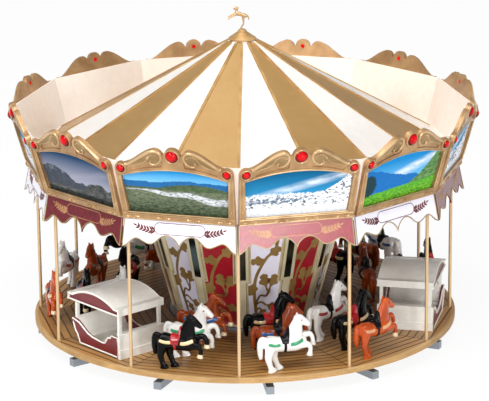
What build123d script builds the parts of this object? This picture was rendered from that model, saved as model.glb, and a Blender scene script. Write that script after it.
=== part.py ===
"""A wind-up musical carousel: a stand of twelve bars and a drum that hides the movement,
and round them a turning deck, crown and roof with horses and carriages.

Millimetres, +Z up, origin on the ground under the middle. The front is -Y, where one post
stands. An azimuth is in degrees from the front, towards +X.
"""

import os
from math import acos, asin, atan, cos, degrees, pi, radians, sin, sqrt, tan

from build123d import *

os.makedirs("parts", exist_ok=True)

# ---------------------------------------------------------------- driving sizes
CLEAR = 0.05  # running clearance of a shaft in its hole, on the radius
GAP = 0.3  # air between pieces that pass each other
SIDES = 12  # sides of the deck and the crown
SIDE_ANGLE = 360 / SIDES

# stand
BAR = 3.6  # square bar
BAR_END = 101.5  # radius of the bars' outer ends
BAR_BED = 32.0  # radius of their inner ends
BAR_TURN = 8.0  # azimuth of the first bar
SCREW_D = 2.0
HUB_R = 40.0
HUB_T = 4.6
PLINTH_R = 36.9
PLINTH_WALL = 3.9
PLINTH_TOP = 9.4
CUP_R = 20.0  # recess for the key
CUP_WALL = 3.0
CUP_DEPTH = 11.0
BED_Z = 13.0  # top of the cup, where the movement stands

# deck
DECK_Z = 6.1
DECK_R = 102.8
DECK_HOLE_R = 37.3
BOARD_T = 1.7
PLANK_T = 0.8
PLANK_W = 3.8
PLANK_GROOVE = 0.35
PLANK_GROOVE_D = 0.3
RIM_W = 1.5
DECK_TOP = DECK_Z + BOARD_T + PLANK_T
POST_D = 1.6
POST_R = 100.3  # radius of the circle of posts
POST_FOOT_R = 1.0
POST_FOOT_H = 0.5

# crown
CROWN_Z = 82.0
CROWN_TILT = 15.1  # the crown leans outwards
CROWN_APOTHEM = 100.1  # outer face of the wall, at its foot
WALL_T = 0.8
WALL_H = 29.0  # along the slope
RING_W = 6.5
RING_H = 6.4
FRAME_FOOT_W = 53.0
FRAME_TOP_W = 55.2  # at the corner bosses
FRAME_T = 1.2
EDGE_T = 0.5  # raised edging on the frame
LIP_W = 0.7
OPENING_FOOT_W = 46.4
OPENING_TOP_W = 49.8
SILL_H = 3.1
OPENING_SIDE_H = 22.1
OPENING_MID_H = 26.3
CORNER_BOSS_X = 24.7
CORNER_BOSS_Y = 26.4
CORNER_BOSS_R = 2.8
TOP_BOSS_Y = 34.0
TOP_BOSS_R = 3.8
BOSS_T = 0.9
JEWEL_R = 2.9
SMALL_JEWEL_R = 2.0
JEWEL_STEM_R = 1.0
PICTURE_T = 0.3
VALANCE_T = 0.7
VALANCE_FLARE = 11.3
VALANCE_H = 13.3
VALANCE_GAP = 0.5  # from a side's corner
VALANCE_EDGE = 0.45
VALANCE_EDGE_T = 0.15

# roof
FACETS = 16
FACET_ANGLE = 360 / FACETS
ROOF_TIP_Z = 146.4
ROOF_SLOPE = 0.58
ROOF_APOTHEM = 97.0
ROOF_HOLE = 6.0
ROOF_T = 1.2
RIB_W = 1.3
RIB_T = 0.4
CAP_R = 6.6
CAP_H = 3.5
KNOB_R = 2.15
KNOB_RISE = 0.36
ROOF_BOSS_H = 9.0  # the boss that sits on the spindle under the roof
ROOF_BOSS_SLEEVE_H = 3.0
ROOF_BOSS_WALL = 2.5
ROOF_BOSS_REACH = 6.0  # of its flange, beyond the roof's hole
ROOF_BOSS_LIP = 1.2

# drum
FACES = 12
FACE_ANGLE = 360 / FACES
DRUM_APOTHEM = 33.1  # at its foot
DRUM_FLARE = 14.3
DRUM_H = 82.0
DRUM_WALL = 1.2
PILASTER_W = 6.4  # where it holds a mirror
PILASTER_FOOT_W = 3.4
PILASTER_T = 1.0
MIRROR_W = 3.6
MIRROR_T = 0.4
MIRROR_SILL = 1.2  # of the case below its mirror
MIRROR_START = 26.0  # up the slope
PANEL_T = 0.5
BORDER_W = 0.9
BORDER_T = 0.3
LID_T = 2.0

# movement
ARBOR_R = 1.5
SPINDLE_R = 2.0
BARREL_R = 13.0
BARREL_Z = 16.0
BARREL_H = 8.0
BARREL_WALL = 1.2
BEDPLATE_T = 1.5
CROWN_TEETH = 48
PINION_TEETH = 12
TRAIN_MODULE = 0.5
BACKLASH = 0.2
CROWN_FACE_W = 1.2  # width of the crown teeth on the barrel
PINION_FACE_W = 1.0
CYLINDER_R = 6.5
CYLINDER_X = 14.4
TRACKS = 18
TRACK_PITCH = 0.68
PIN_D = 0.4
PIN_H = 0.4
CYLINDER_ARBOR_R = 0.8
FLY_MODULE = 0.3
FLY_WHEEL_TEETH = 60
FLY_PINION_TEETH = 14
FLY_ARBOR_R = 0.6
WHEEL_T = 1.2
BEDPLATE_L = 46.0
BEDPLATE_W = 34.0
BEDPLATE_ROUND = 9.0
BEDPLATE_X = 6.0
BEARING_R = 3.2
SLOT_W = 0.35  # of the screws
BRIDGE_W = 32.0
BRIDGE_H = 3.6
BRIDGE_LEG = 2.5
COMB_Y = 12.4  # where the tines leave the comb's spine
COMB_SPINE_W = 4.2
COMB_SPINE_T = 0.8
COMB_SCREW_Y = 14.6
TINE_T = 0.4
TINE_GAP = 0.25

# key
KEY_Z = 3.0
KEY_COLLAR_R = 2.6
KEY_COLLAR_H = 7.6
WING_R = 4.2
WING_X = 4.6
WING_Z = 5.2
WING_T = 1.6
WING_EYE_R = 1.5

# horses and carriages
HORSE_ROWS = (94.0, 78.5, 61.0)  # radii of the three rows
# azimuth and radius of each carriage's middle, and which way its low end points
CARRIAGES = ((-47.5, 80.5, 1), (78.8, 82.6, -1), (195.0, 82.0, 1))

SCREW_RING_R = (PLINTH_R + HUB_R) / 2
CYLINDER_Z = BARREL_Z + BARREL_H + 0.6 + TRAIN_MODULE * PINION_TEETH / 2
CYLINDER_L = TRACKS * TRACK_PITCH
FLY_WHEEL_X = CYLINDER_X + CYLINDER_L + GAP
FLY_REACH = FLY_MODULE * (FLY_WHEEL_TEETH + FLY_PINION_TEETH) / 2
BRACKET_X = FLY_WHEEL_X + WHEEL_T + GAP
BRACKET_T = 1.2
BRIDGE_X = 5.0
BRIDGE_T = 2.0


# ---------------------------------------------------------------- helpers
def ray(azimuth, radius, z=0.0):
    """The point at an azimuth from the front."""
    return Vector(radius * sin(radians(azimuth)), -radius * cos(radians(azimuth)), z)


def leaning_plane(azimuth, apothem, z, lean):
    """A wall's plane: x along it, y up its slope, z outwards. It leans out by `lean` degrees."""
    outwards = ray(azimuth, cos(radians(lean)), -sin(radians(lean)))
    return Plane(ray(azimuth, apothem, z), x_dir=ray(azimuth + 90, 1), z_dir=outwards)


def standing_place(azimuth, radius, z):
    """A place on the deck: x the way the carousel turns, y towards the middle."""
    return Location(Plane(ray(azimuth, radius, z), x_dir=ray(azimuth + 90, 1), z_dir=(0, 0, 1)))


def save(part, name):
    part.label = name
    export_step(part, f"parts/{name}.step")


def save_copies(part, places, name):
    """One node of separate, identical solids."""
    save(Compound(children=[part.moved(place) for place in places]), name)


def dome(radius, z, height):
    """Half a dome's outline, from its rim up to its crown on the axis."""
    ball_r = (radius**2 + height**2) / (2 * height)
    half = asin(min(1.0, radius / ball_r)) / 2
    middle = (ball_r * sin(half), z + height - ball_r + ball_r * cos(half))
    return ThreePointArc((radius, z), middle, (0, z + height))


def crown_plane(side, z_offset=0.0):
    plane = leaning_plane((side + 0.5) * SIDE_ANGLE, CROWN_APOTHEM, CROWN_Z, CROWN_TILT)
    return plane.offset(z_offset)


def drum_plane(azimuth, offset=0.0):
    return leaning_plane(azimuth, DRUM_APOTHEM, PLINTH_TOP, DRUM_FLARE).offset(offset)


def tooth_outline(teeth, module, backlash):
    """Corners of an involute gear's outline, 20 degree pressure angle."""
    pitch_r = module * teeth / 2
    base_r = pitch_r * cos(radians(20))
    tip_r = pitch_r + 0.9 * module
    root_r = pitch_r - 1.2 * module

    def involute(radius):
        alpha = acos(min(1.0, base_r / radius))
        return tan(alpha) - alpha

    half = pi / (2 * teeth) - backlash / (4 * pitch_r) + involute(pitch_r)
    low_r = max(base_r, root_r)
    radii = [low_r + (tip_r - low_r) * k / 4 for k in range(5)]
    corners = []
    for tooth in range(teeth):
        middle = 2 * pi * tooth / teeth
        rise = [(r, middle - half + involute(r)) for r in radii]
        fall = [(r, middle + half - involute(r)) for r in reversed(radii)]
        if root_r < base_r:
            rise.insert(0, (root_r, rise[0][1]))
            fall.append((root_r, fall[-1][1]))
        corners += [(r * cos(a), r * sin(a)) for r, a in rise + fall]
    return corners


# ---------------------------------------------------------------- the stand
def make_stand():
    with BuildPart() as hub:
        with BuildSketch(Plane.XZ):
            with BuildLine():
                Polyline(
                    (ARBOR_R + CLEAR, CUP_DEPTH),
                    (CUP_R, CUP_DEPTH),
                    (CUP_R, 0),
                    (HUB_R, 0),
                    (HUB_R, HUB_T),
                    (PLINTH_R, HUB_T),
                    (PLINTH_R, PLINTH_TOP),
                    (PLINTH_R - PLINTH_WALL, PLINTH_TOP),
                    (PLINTH_R - PLINTH_WALL, HUB_T),
                    (CUP_R + CUP_WALL, HUB_T),
                    (CUP_R + CUP_WALL, BED_Z),
                    (ARBOR_R + CLEAR, BED_Z),
                    close=True,
                )
            make_face()
        revolve(axis=Axis.Z)
        with PolarLocations(0, SIDES, start_angle=BAR_TURN - 90):
            with Locations((BAR_BED + HUB_R / 2, 0, 0)):
                Box(
                    HUB_R,
                    BAR + 2 * CLEAR,
                    BAR,
                    align=(Align.CENTER, Align.CENTER, Align.MIN),
                    mode=Mode.SUBTRACT,
                )
        with PolarLocations(SCREW_RING_R, SIDES, start_angle=BAR_TURN - 90):
            with Locations((0, 0, HUB_T)):
                Hole(SCREW_D / 2)
    save(hub.part, "stand_hub")

    with BuildPart() as bars:
        with PolarLocations(0, SIDES, start_angle=BAR_TURN - 90):
            with Locations((BAR_BED, 0, 0)):
                Box(BAR_END - BAR_BED, BAR, BAR, align=(Align.MIN, Align.CENTER, Align.MIN))
        with PolarLocations(SCREW_RING_R, SIDES, start_angle=BAR_TURN - 90):
            with Locations((0, 0, BAR)):
                Hole(SCREW_D / 2 - CLEAR, depth=BAR - 1)
    save(bars.part, "stand_bars")

    with BuildPart() as screw:
        Cylinder(SCREW_D / 2 - CLEAR, 3.0, align=(Align.CENTER, Align.CENTER, Align.MAX))
        with BuildSketch(Plane.XY):
            Circle(SCREW_D * 0.72)
        extrude(amount=0.6)
        with BuildSketch(Plane.XY.offset(0.6)):
            Rectangle(SCREW_D * 2, SLOT_W)
        extrude(amount=-0.3, mode=Mode.SUBTRACT)
    places = [Location(ray(BAR_TURN + k * SIDE_ANGLE, SCREW_RING_R, HUB_T)) for k in range(SIDES)]
    save_copies(screw.part, places, "stand_screws")


# ---------------------------------------------------------------- the deck
def make_deck():
    with BuildPart() as board:
        with BuildSketch(Plane.XY.offset(DECK_Z)):
            Circle(DECK_R - RIM_W)
            Circle(DECK_HOLE_R, mode=Mode.SUBTRACT)
        extrude(amount=BOARD_T)
    save(board.part, "deck_board")

    rim_h = DECK_TOP - DECK_Z
    with BuildPart() as rim:
        with BuildSketch(Plane.XZ):
            with Locations((DECK_R - RIM_W / 2, DECK_Z + rim_h / 2)):
                Rectangle(RIM_W, rim_h)
            for height in (0.2, 0.48, 0.76):
                with Locations((DECK_R, DECK_Z + rim_h * height)):
                    Circle(0.28, mode=Mode.SUBTRACT)
        revolve(axis=Axis.Z)
    save(rim.part, "deck_rim")

    # one sector of planks, laid across it, then one for each side
    half = radians(SIDE_ANGLE / 2)
    plank_r = DECK_R - RIM_W - CLEAR / 2
    seam = PLANK_GROOVE / 4
    with BuildPart() as planks:
        with BuildSketch(Plane.XY.offset(DECK_Z + BOARD_T)):
            Circle(plank_r)
            Circle(DECK_HOLE_R, mode=Mode.SUBTRACT)
            far = 2 * DECK_R
            tip = -seam / sin(half)
            wedge = [(0, tip), (-far * tan(half), tip - far), (far * tan(half), tip - far)]
            with BuildLine():
                Polyline(*wedge, close=True)
            make_face(mode=Mode.INTERSECT)
        extrude(amount=PLANK_T)
        grooves = int((plank_r - DECK_HOLE_R) / PLANK_W)
        with Locations(*[(0, -DECK_HOLE_R - PLANK_W * (k + 1), DECK_TOP) for k in range(grooves)]):
            Box(DECK_R, PLANK_GROOVE, 2 * PLANK_GROOVE_D, mode=Mode.SUBTRACT)
    places = [Location((0, 0, 0), (0, 0, (side + 0.5) * SIDE_ANGLE)) for side in range(SIDES)]
    save_copies(planks.part, places, "deck_planks")


def make_posts():
    top = CROWN_Z
    with BuildPart() as post:
        Cylinder(POST_D / 2, top - DECK_TOP, align=(Align.CENTER, Align.CENTER, Align.MIN))
        Cylinder(POST_FOOT_R, POST_FOOT_H, align=(Align.CENTER, Align.CENTER, Align.MIN))
    places = [Location(ray(k * SIDE_ANGLE, POST_R, DECK_TOP)) for k in range(SIDES)]
    save_copies(post.part, places, "posts")


# ---------------------------------------------------------------- the crown
def crown_half_width(height):
    """Half a wall's width at a height along its slope, from the middle of the side."""
    return (CROWN_APOTHEM + height * sin(radians(CROWN_TILT))) * tan(radians(SIDE_ANGLE / 2))


def make_crown_wall():
    foot = crown_half_width(0) - 0.02
    head = crown_half_width(WALL_H) - 0.02
    bevel = degrees(atan(tan(radians(SIDE_ANGLE / 2)) * cos(radians(CROWN_TILT))))
    with BuildPart() as wall:
        with BuildSketch(Plane.XY):
            Polygon((-foot, 0), (foot, 0), (head, WALL_H), (-head, WALL_H), align=None)
        extrude(amount=-WALL_T, taper=bevel)
    places = [Location(crown_plane(side)) for side in range(SIDES)]
    save_copies(wall.part, places, "crown_wall")

    with BuildPart() as ring:
        inner = CROWN_APOTHEM - WALL_T / cos(radians(CROWN_TILT)) - CLEAR
        with BuildSketch(Plane.XY.offset(CROWN_Z)):
            RegularPolygon(inner, SIDES, major_radius=False, rotation=-90)
        extrude(amount=RING_H, taper=-CROWN_TILT)
        with BuildSketch(Plane.XY.offset(CROWN_Z)):
            RegularPolygon(inner - RING_W, SIDES, major_radius=False, rotation=-90)
        extrude(amount=RING_H, mode=Mode.SUBTRACT)
    save(ring.part, "crown_ring")


def crest_outline():
    """The frame's outer line: straight sides, round corner bosses and an ogee crest."""
    foot = FRAME_FOOT_W / 2
    half = FRAME_TOP_W / 2
    with BuildLine() as outline:
        Line((foot, 0), (half, CORNER_BOSS_Y))
        Line((half, CORNER_BOSS_Y), (half - 2.0, CORNER_BOSS_Y + 2.4))
        Spline(
            (half - 2.0, CORNER_BOSS_Y + 2.4),
            (21.4, 29.6),
            (17.0, 32.4),
            (13.2, 35.1),
            (10.0, 36.6),
            (7.7, 37.0),
            (5.7, 36.0),
            (4.5, 34.3),
        )
        Line((4.5, 34.3), (0, 34.3))
        mirror(about=Plane.YZ)
        Line((-foot, 0), (foot, 0))
    return outline.line


def opening_outline():
    foot = OPENING_FOOT_W / 2
    head = OPENING_TOP_W / 2
    with BuildLine() as opening:
        Line((-foot, SILL_H), (foot, SILL_H))
        Line((foot, SILL_H), (head, OPENING_SIDE_H))
        ThreePointArc((head, OPENING_SIDE_H), (0, OPENING_MID_H), (-head, OPENING_SIDE_H))
        Line((-head, OPENING_SIDE_H), (-foot, SILL_H))
    return opening.line


# upper edge of the sunk field in the right half of a frame's crest, and the sill's bead pairs
CREST_FIELD_TOP = ((20.8, 26.4), (16.6, 30.8), (12.8, 33.6), (9.8, 35.1), (7.6, 35.5))
BEAD_PAIRS = (-21.5, -7.0, 7.0, 21.5)
BEAD_HALF_GAP = 1.3
BEAD_R = 0.8


def make_frames():
    """One gilt frame, laid flat, then set on each side of the crown."""
    outline = crest_outline()
    opening = opening_outline()
    with BuildPart() as frame:
        with BuildSketch(Plane.XY):
            make_face(outline)
            with Locations((0, TOP_BOSS_Y)):
                Circle(TOP_BOSS_R)
            with Locations((-CORNER_BOSS_X, CORNER_BOSS_Y), (CORNER_BOSS_X, CORNER_BOSS_Y)):
                Circle(CORNER_BOSS_R)
            make_face(opening, mode=Mode.SUBTRACT)
        extrude(amount=FRAME_T + EDGE_T)
        # a lower lip round the picture and a sunk field under each half of the crest
        with BuildSketch(Plane.XY.offset(FRAME_T)):
            make_face(opening)
            offset(amount=LIP_W, kind=Kind.ARC)
        extrude(amount=EDGE_T, mode=Mode.SUBTRACT)
        for hand in (-1, 1):
            with BuildSketch(Plane.XY.offset(FRAME_T)):
                with BuildLine():
                    Spline(*[(hand * x, y) for x, y in CREST_FIELD_TOP])
                    ThreePointArc((hand * 7.6, 35.5), (hand * 5.2, 32.0), (hand * 5.4, 28.0))
                    ThreePointArc((hand * 5.4, 28.0), (hand * 13.0, 27.0), (hand * 20.0, 25.0))
                    Line((hand * 20.0, 25.0), (hand * 20.8, 26.4))
                make_face()
            extrude(amount=EDGE_T, mode=Mode.SUBTRACT)
        # bosses that hold the jewels
        with BuildSketch(Plane.XY.offset(FRAME_T)):
            with Locations((0, TOP_BOSS_Y)):
                Circle(TOP_BOSS_R)
        extrude(amount=BOSS_T)
        with BuildSketch(Plane.XY.offset(FRAME_T)):
            with Locations((-CORNER_BOSS_X, CORNER_BOSS_Y), (CORNER_BOSS_X, CORNER_BOSS_Y)):
                Circle(CORNER_BOSS_R)
        extrude(amount=BOSS_T)
        with Locations(
            (0, TOP_BOSS_Y, FRAME_T + BOSS_T),
            (-CORNER_BOSS_X, CORNER_BOSS_Y, FRAME_T + BOSS_T),
            (CORNER_BOSS_X, CORNER_BOSS_Y, FRAME_T + BOSS_T),
        ):
            Hole(JEWEL_STEM_R)
        # scrolls that curl beside the top boss
        for hand in (-1, 1):
            with BuildSketch(Plane.XY.offset(FRAME_T)):
                with Locations((hand * 8.1, 31.2)):
                    Circle(2.9)
                    Circle(2.1, mode=Mode.SUBTRACT)
                with Locations((hand * 8.8, 30.6)):
                    Circle(1.1)
            extrude(amount=EDGE_T)
        # pairs of half-round beads along the sill
        bead_y = SILL_H / 2 - LIP_W / 2
        for x in BEAD_PAIRS:
            with Locations(
                (x - BEAD_HALF_GAP, bead_y, FRAME_T + EDGE_T),
                (x + BEAD_HALF_GAP, bead_y, FRAME_T + EDGE_T),
            ):
                Sphere(BEAD_R)
    places = [Location(crown_plane(side)) for side in range(SIDES)]
    save_copies(frame.part, places, "crown_frames")


def make_jewels():
    def jewel(radius, stem):
        girdle = radius / 10
        height = radius * 0.6
        with BuildPart() as stone:
            with BuildSketch(Plane.XZ):
                with BuildLine():
                    Polyline(
                        (0, girdle + height),
                        (0, -stem),
                        (JEWEL_STEM_R - CLEAR, -stem),
                        (JEWEL_STEM_R - CLEAR, 0),
                        (radius, 0),
                        (radius, girdle),
                    )
                    dome(radius, girdle, height)
                make_face()
            revolve(axis=Axis.Z)
        return stone.part

    through = FRAME_T + BOSS_T
    planes = [crown_plane(side, through) for side in range(SIDES)]
    tops = [Location(plane) * Location((0, TOP_BOSS_Y, 0)) for plane in planes]
    corners = []
    for plane in planes:
        for x in (-CORNER_BOSS_X, CORNER_BOSS_X):
            corners.append(Location(plane) * Location((x, CORNER_BOSS_Y, 0)))
    save_copies(jewel(JEWEL_R, through + WALL_T / 4), tops, "jewels_top")
    save_copies(jewel(SMALL_JEWEL_R, through - CLEAR), corners, "jewels_corner")


def make_pictures():
    with BuildPart() as picture:
        with BuildSketch(Plane.XY):
            make_face(opening_outline())
            offset(amount=-CLEAR)
        extrude(amount=PICTURE_T)
    places = [Location(crown_plane(side)) for side in range(SIDES)]
    save_copies(picture.part, places, "pictures")


def valance_outline(half_top, half_foot):
    """A hanging cloth's outline: a cusp in the middle and three arches to each side."""
    drop = VALANCE_H
    with BuildLine() as outline:
        Line((0, 0), (half_top, 0))
        Line((half_top, 0), (half_foot, -drop))
        Spline(
            (half_foot, -drop),
            (half_foot * 0.9, -drop + 1.5),
            (half_foot * 0.76, -drop + 4.2),
            (half_foot * 0.64, -drop + 3.0),
            (half_foot * 0.54, -drop + 1.9),
        )
        Spline(
            (half_foot * 0.54, -drop + 1.9),
            (half_foot * 0.42, -drop + 2.9),
            (half_foot * 0.32, -drop + 5.3),
            (half_foot * 0.215, -drop + 6.1),
            (half_foot * 0.09, -drop + 4.7),
            (0, -drop + 0.7),
        )
        mirror(about=Plane.YZ)
    return outline.line


def make_valances():
    apothem = CROWN_APOTHEM + 0.3
    hem_z = CROWN_Z - (FRAME_T + EDGE_T) * sin(radians(CROWN_TILT)) - GAP / 3
    foot_apothem = apothem + VALANCE_H * sin(radians(VALANCE_FLARE))
    half_angle = tan(radians(SIDE_ANGLE / 2))
    outline = valance_outline(apothem * half_angle - VALANCE_GAP, foot_apothem * half_angle - VALANCE_GAP)
    with BuildPart() as cloth:
        with BuildSketch(Plane.XY):
            make_face(outline)
        extrude(amount=VALANCE_T)
    with BuildPart() as edging:
        with BuildSketch(Plane.XY.offset(VALANCE_T)):
            trace(outline.edges(), line_width=2 * VALANCE_EDGE)
            make_face(outline, mode=Mode.INTERSECT)
        extrude(amount=VALANCE_EDGE_T)
    places = []
    for side in range(SIDES):
        plane = leaning_plane((side + 0.5) * SIDE_ANGLE, apothem, hem_z, -VALANCE_FLARE)
        places.append(Location(plane.offset(-VALANCE_T)))
    save_copies(cloth.part, places[0::2], "valances_red")
    save_copies(cloth.part, places[1::2], "valances_white")
    save_copies(edging.part, places, "valance_edging")


# ---------------------------------------------------------------- the roof
def roof_z(radius):
    return ROOF_TIP_Z - ROOF_SLOPE * radius


def make_roof():
    lean = degrees(atan(ROOF_SLOPE)) - 90  # the facets lie back from upright
    half_angle = radians(FACET_ANGLE / 2)
    run = (ROOF_APOTHEM - ROOF_HOLE) * sqrt(1 + ROOF_SLOPE**2)
    foot = ROOF_APOTHEM * tan(half_angle) - CLEAR
    head = ROOF_HOLE * tan(half_angle) - CLEAR
    mitre = degrees(atan(tan(half_angle) * sin(atan(ROOF_SLOPE))))
    with BuildPart() as facet:
        with BuildSketch(Plane.XY):
            Polygon((-foot, 0), (foot, 0), (head, run), (-head, run), align=None)
        extrude(amount=-ROOF_T, taper=mitre)
    planes = [
        leaning_plane((k + 0.5) * FACET_ANGLE, ROOF_APOTHEM, roof_z(ROOF_APOTHEM), lean)
        for k in range(FACETS)
    ]
    save_copies(facet.part, [Location(plane) for plane in planes[0::2]], "roof_ivory")
    save_copies(facet.part, [Location(plane) for plane in planes[1::2]], "roof_gilt")

    corner_r = ROOF_APOTHEM / cos(half_angle)
    corner_slope = ROOF_SLOPE * cos(half_angle)
    hole_r = ROOF_HOLE / cos(half_angle)
    length = (corner_r - hole_r - 1.0) * sqrt(1 + corner_slope**2)
    with BuildPart() as rib:
        with BuildSketch(Plane.XY):
            Rectangle(RIB_W, length, align=(Align.CENTER, Align.MIN))
        extrude(amount=RIB_T)
        with BuildSketch(Plane.XY.offset(RIB_T)):
            Rectangle(RIB_W / 3, length, align=(Align.CENTER, Align.MIN))
        extrude(amount=-RIB_T / 2, mode=Mode.SUBTRACT)
    rib_lean = degrees(atan(corner_slope)) - 90
    eaves_z = roof_z(ROOF_APOTHEM)
    places = [Location(leaning_plane(k * FACET_ANGLE, corner_r, eaves_z, rib_lean)) for k in range(FACETS)]
    save_copies(rib.part, places, "roof_ribs")

    cap_z = roof_z(CAP_R) + RIB_T + CLEAR
    knob_z = cap_z + CAP_H
    with BuildPart() as cap:
        with BuildSketch(Plane.XZ):
            with BuildLine():
                Polyline(
                    (0, knob_z + 2 * KNOB_R * KNOB_RISE),
                    (0, cap_z),
                    (CAP_R, cap_z),
                    (CAP_R, cap_z + 0.6),
                    (KNOB_R + 0.3, knob_z),
                    (KNOB_R, knob_z),
                    (KNOB_R, knob_z + KNOB_R * KNOB_RISE),
                )
                dome(KNOB_R, knob_z + KNOB_R * KNOB_RISE, KNOB_R * KNOB_RISE)
            make_face()
        revolve(axis=Axis.Z)
    save(cap.part, "roof_cap")

    with BuildPart() as boss:
        boss_top = roof_z(ROOF_HOLE) - 2 * ROOF_T
        sleeve_r = SPINDLE_R + ROOF_BOSS_WALL
        flange_r = ROOF_HOLE + ROOF_BOSS_REACH
        flange_z = boss_top - ROOF_BOSS_REACH * ROOF_SLOPE
        with BuildSketch(Plane.XZ):
            with BuildLine():
                Polyline(
                    (SPINDLE_R, boss_top - ROOF_BOSS_H),
                    (sleeve_r, boss_top - ROOF_BOSS_H),
                    (sleeve_r, boss_top - ROOF_BOSS_H + ROOF_BOSS_SLEEVE_H),
                    (flange_r, flange_z - ROOF_BOSS_LIP),
                    (flange_r, flange_z),
                    (ROOF_HOLE, boss_top),
                    (SPINDLE_R, boss_top),
                    close=True,
                )
            make_face()
        revolve(axis=Axis.Z)
    save(boss.part, "roof_boss")
    return knob_z + 2 * KNOB_R * KNOB_RISE, boss_top


# ---------------------------------------------------------------- the drum
def drum_apothem(height):
    """The drum's apothem at a height along its slope."""
    return DRUM_APOTHEM + height * sin(radians(DRUM_FLARE))


def panel_outline(start):
    """A drum panel's outline, which steps in beside the mirrors' cases."""
    half_angle = tan(radians(FACE_ANGLE / 2))
    lean = cos(radians(FACE_ANGLE / 2))

    def half_width(height, pilaster):
        return drum_apothem(height) * half_angle - pilaster / 2 / lean - CLEAR

    step = MIRROR_START - GAP
    right = (
        (half_width(start, PILASTER_FOOT_W), start),
        (half_width(step, PILASTER_FOOT_W), step),
        (half_width(step, PILASTER_W), step),
        (half_width(DRUM_H, PILASTER_W), DRUM_H),
    )
    left = [(-x, y) for x, y in reversed(right)]
    with BuildLine() as outline:
        Polyline(*right, *left, close=True)
    return outline.line


def make_drum():
    top_z = PLINTH_TOP + DRUM_H * cos(radians(DRUM_FLARE))
    with BuildPart() as shell:
        with BuildSketch(Plane.XY.offset(PLINTH_TOP)):
            RegularPolygon(DRUM_APOTHEM, FACES, major_radius=False, rotation=-90)
        extrude(amount=top_z - PLINTH_TOP, taper=-DRUM_FLARE)
        with BuildSketch(Plane.XY.offset(PLINTH_TOP)):
            RegularPolygon(DRUM_APOTHEM - DRUM_WALL, FACES, major_radius=False, rotation=-90)
        extrude(amount=top_z - PLINTH_TOP, taper=-DRUM_FLARE, mode=Mode.SUBTRACT)
    save(shell.part, "drum_shell")

    with BuildPart() as lid:
        with BuildSketch(Plane.XY.offset(top_z)):
            RegularPolygon(drum_apothem(DRUM_H) + PANEL_T, FACES, major_radius=False, rotation=-90)
        extrude(amount=LID_T)
        with BuildSketch(Plane.XY.offset(top_z + LID_T)):
            Circle(2.5 * SPINDLE_R)
        extrude(amount=2 * LID_T)
        with Locations((0, 0, top_z + 3 * LID_T)):
            Hole(SPINDLE_R + CLEAR)
    save(lid.part, "drum_lid")

    half_angle = tan(radians(FACE_ANGLE / 2))
    start = 0.5
    outline = panel_outline(start)
    with BuildPart() as panel:
        with BuildSketch(Plane.XY):
            make_face(outline)
        extrude(amount=PANEL_T)
    with BuildPart() as border:
        with BuildSketch(Plane.XY.offset(PANEL_T)):
            trace(outline.edges(), line_width=2 * BORDER_W)
            make_face(outline, mode=Mode.INTERSECT)
        extrude(amount=BORDER_T)
    places = [Location(drum_plane((k + 0.5) * FACE_ANGLE)) for k in range(FACES)]
    save_copies(panel.part, places[0::2], "drum_panels_white")
    save_copies(panel.part, places[1::2], "drum_panels_red")
    save_copies(border.part, places, "drum_borders")

    corner_apothem = DRUM_APOTHEM / cos(radians(FACE_ANGLE / 2))
    corner_lean = degrees(atan(tan(radians(DRUM_FLARE)) / cos(radians(FACE_ANGLE / 2))))
    slope_h = DRUM_H * cos(radians(DRUM_FLARE)) / cos(radians(corner_lean)) - GAP
    with BuildPart() as pilaster:
        lower = (PILASTER_FOOT_W, start, MIRROR_START)
        upper = (PILASTER_W, MIRROR_START, slope_h)
        for width, foot, head in (lower, upper):
            with BuildSketch(Plane.XZ.offset(-foot)):
                sunk = width / 2 * half_angle
                Polygon(
                    (0, CLEAR),
                    (-width / 2, CLEAR - sunk),
                    (-width / 2, CLEAR + PILASTER_T),
                    (width / 2, CLEAR + PILASTER_T),
                    (width / 2, CLEAR - sunk),
                    align=None,
                )
            extrude(amount=foot - head)
        with BuildSketch(Plane.XY.offset(CLEAR + PILASTER_T)):
            with Locations((0, MIRROR_START + MIRROR_SILL)):
                Rectangle(MIRROR_W, slope_h, align=(Align.CENTER, Align.MIN))
        extrude(amount=-MIRROR_T - 0.1, mode=Mode.SUBTRACT)
    with BuildPart() as mirror_strip:
        with BuildSketch(Plane.XY.offset(CLEAR + PILASTER_T - MIRROR_T - 0.1)):
            with Locations((0, MIRROR_START + MIRROR_SILL)):
                mirror_h = slope_h - MIRROR_START - MIRROR_SILL
                Rectangle(MIRROR_W, mirror_h, align=(Align.CENTER, Align.MIN))
        extrude(amount=MIRROR_T)
    angles = [k * FACE_ANGLE for k in range(FACES)]
    places = [Location(leaning_plane(angle, corner_apothem, PLINTH_TOP, corner_lean)) for angle in angles]
    save_copies(pilaster.part, places, "drum_pilasters")
    save_copies(mirror_strip.part, places, "drum_mirrors")


# ---------------------------------------------------------------- horses
def limb(stations):
    """A rounded solid through stations (x, y, z, half width, half depth)."""
    points = [Vector(*station[:3]) for station in stations]
    with BuildPart() as shape:
        for index, station in enumerate(stations):
            before = points[max(index - 1, 0)]
            after = points[min(index + 1, len(points) - 1)]
            with BuildSketch(Plane(points[index], x_dir=(0, 1, 0), z_dir=after - before)):
                Ellipse(station[3], station[4])
        loft()
    return shape.part


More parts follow.
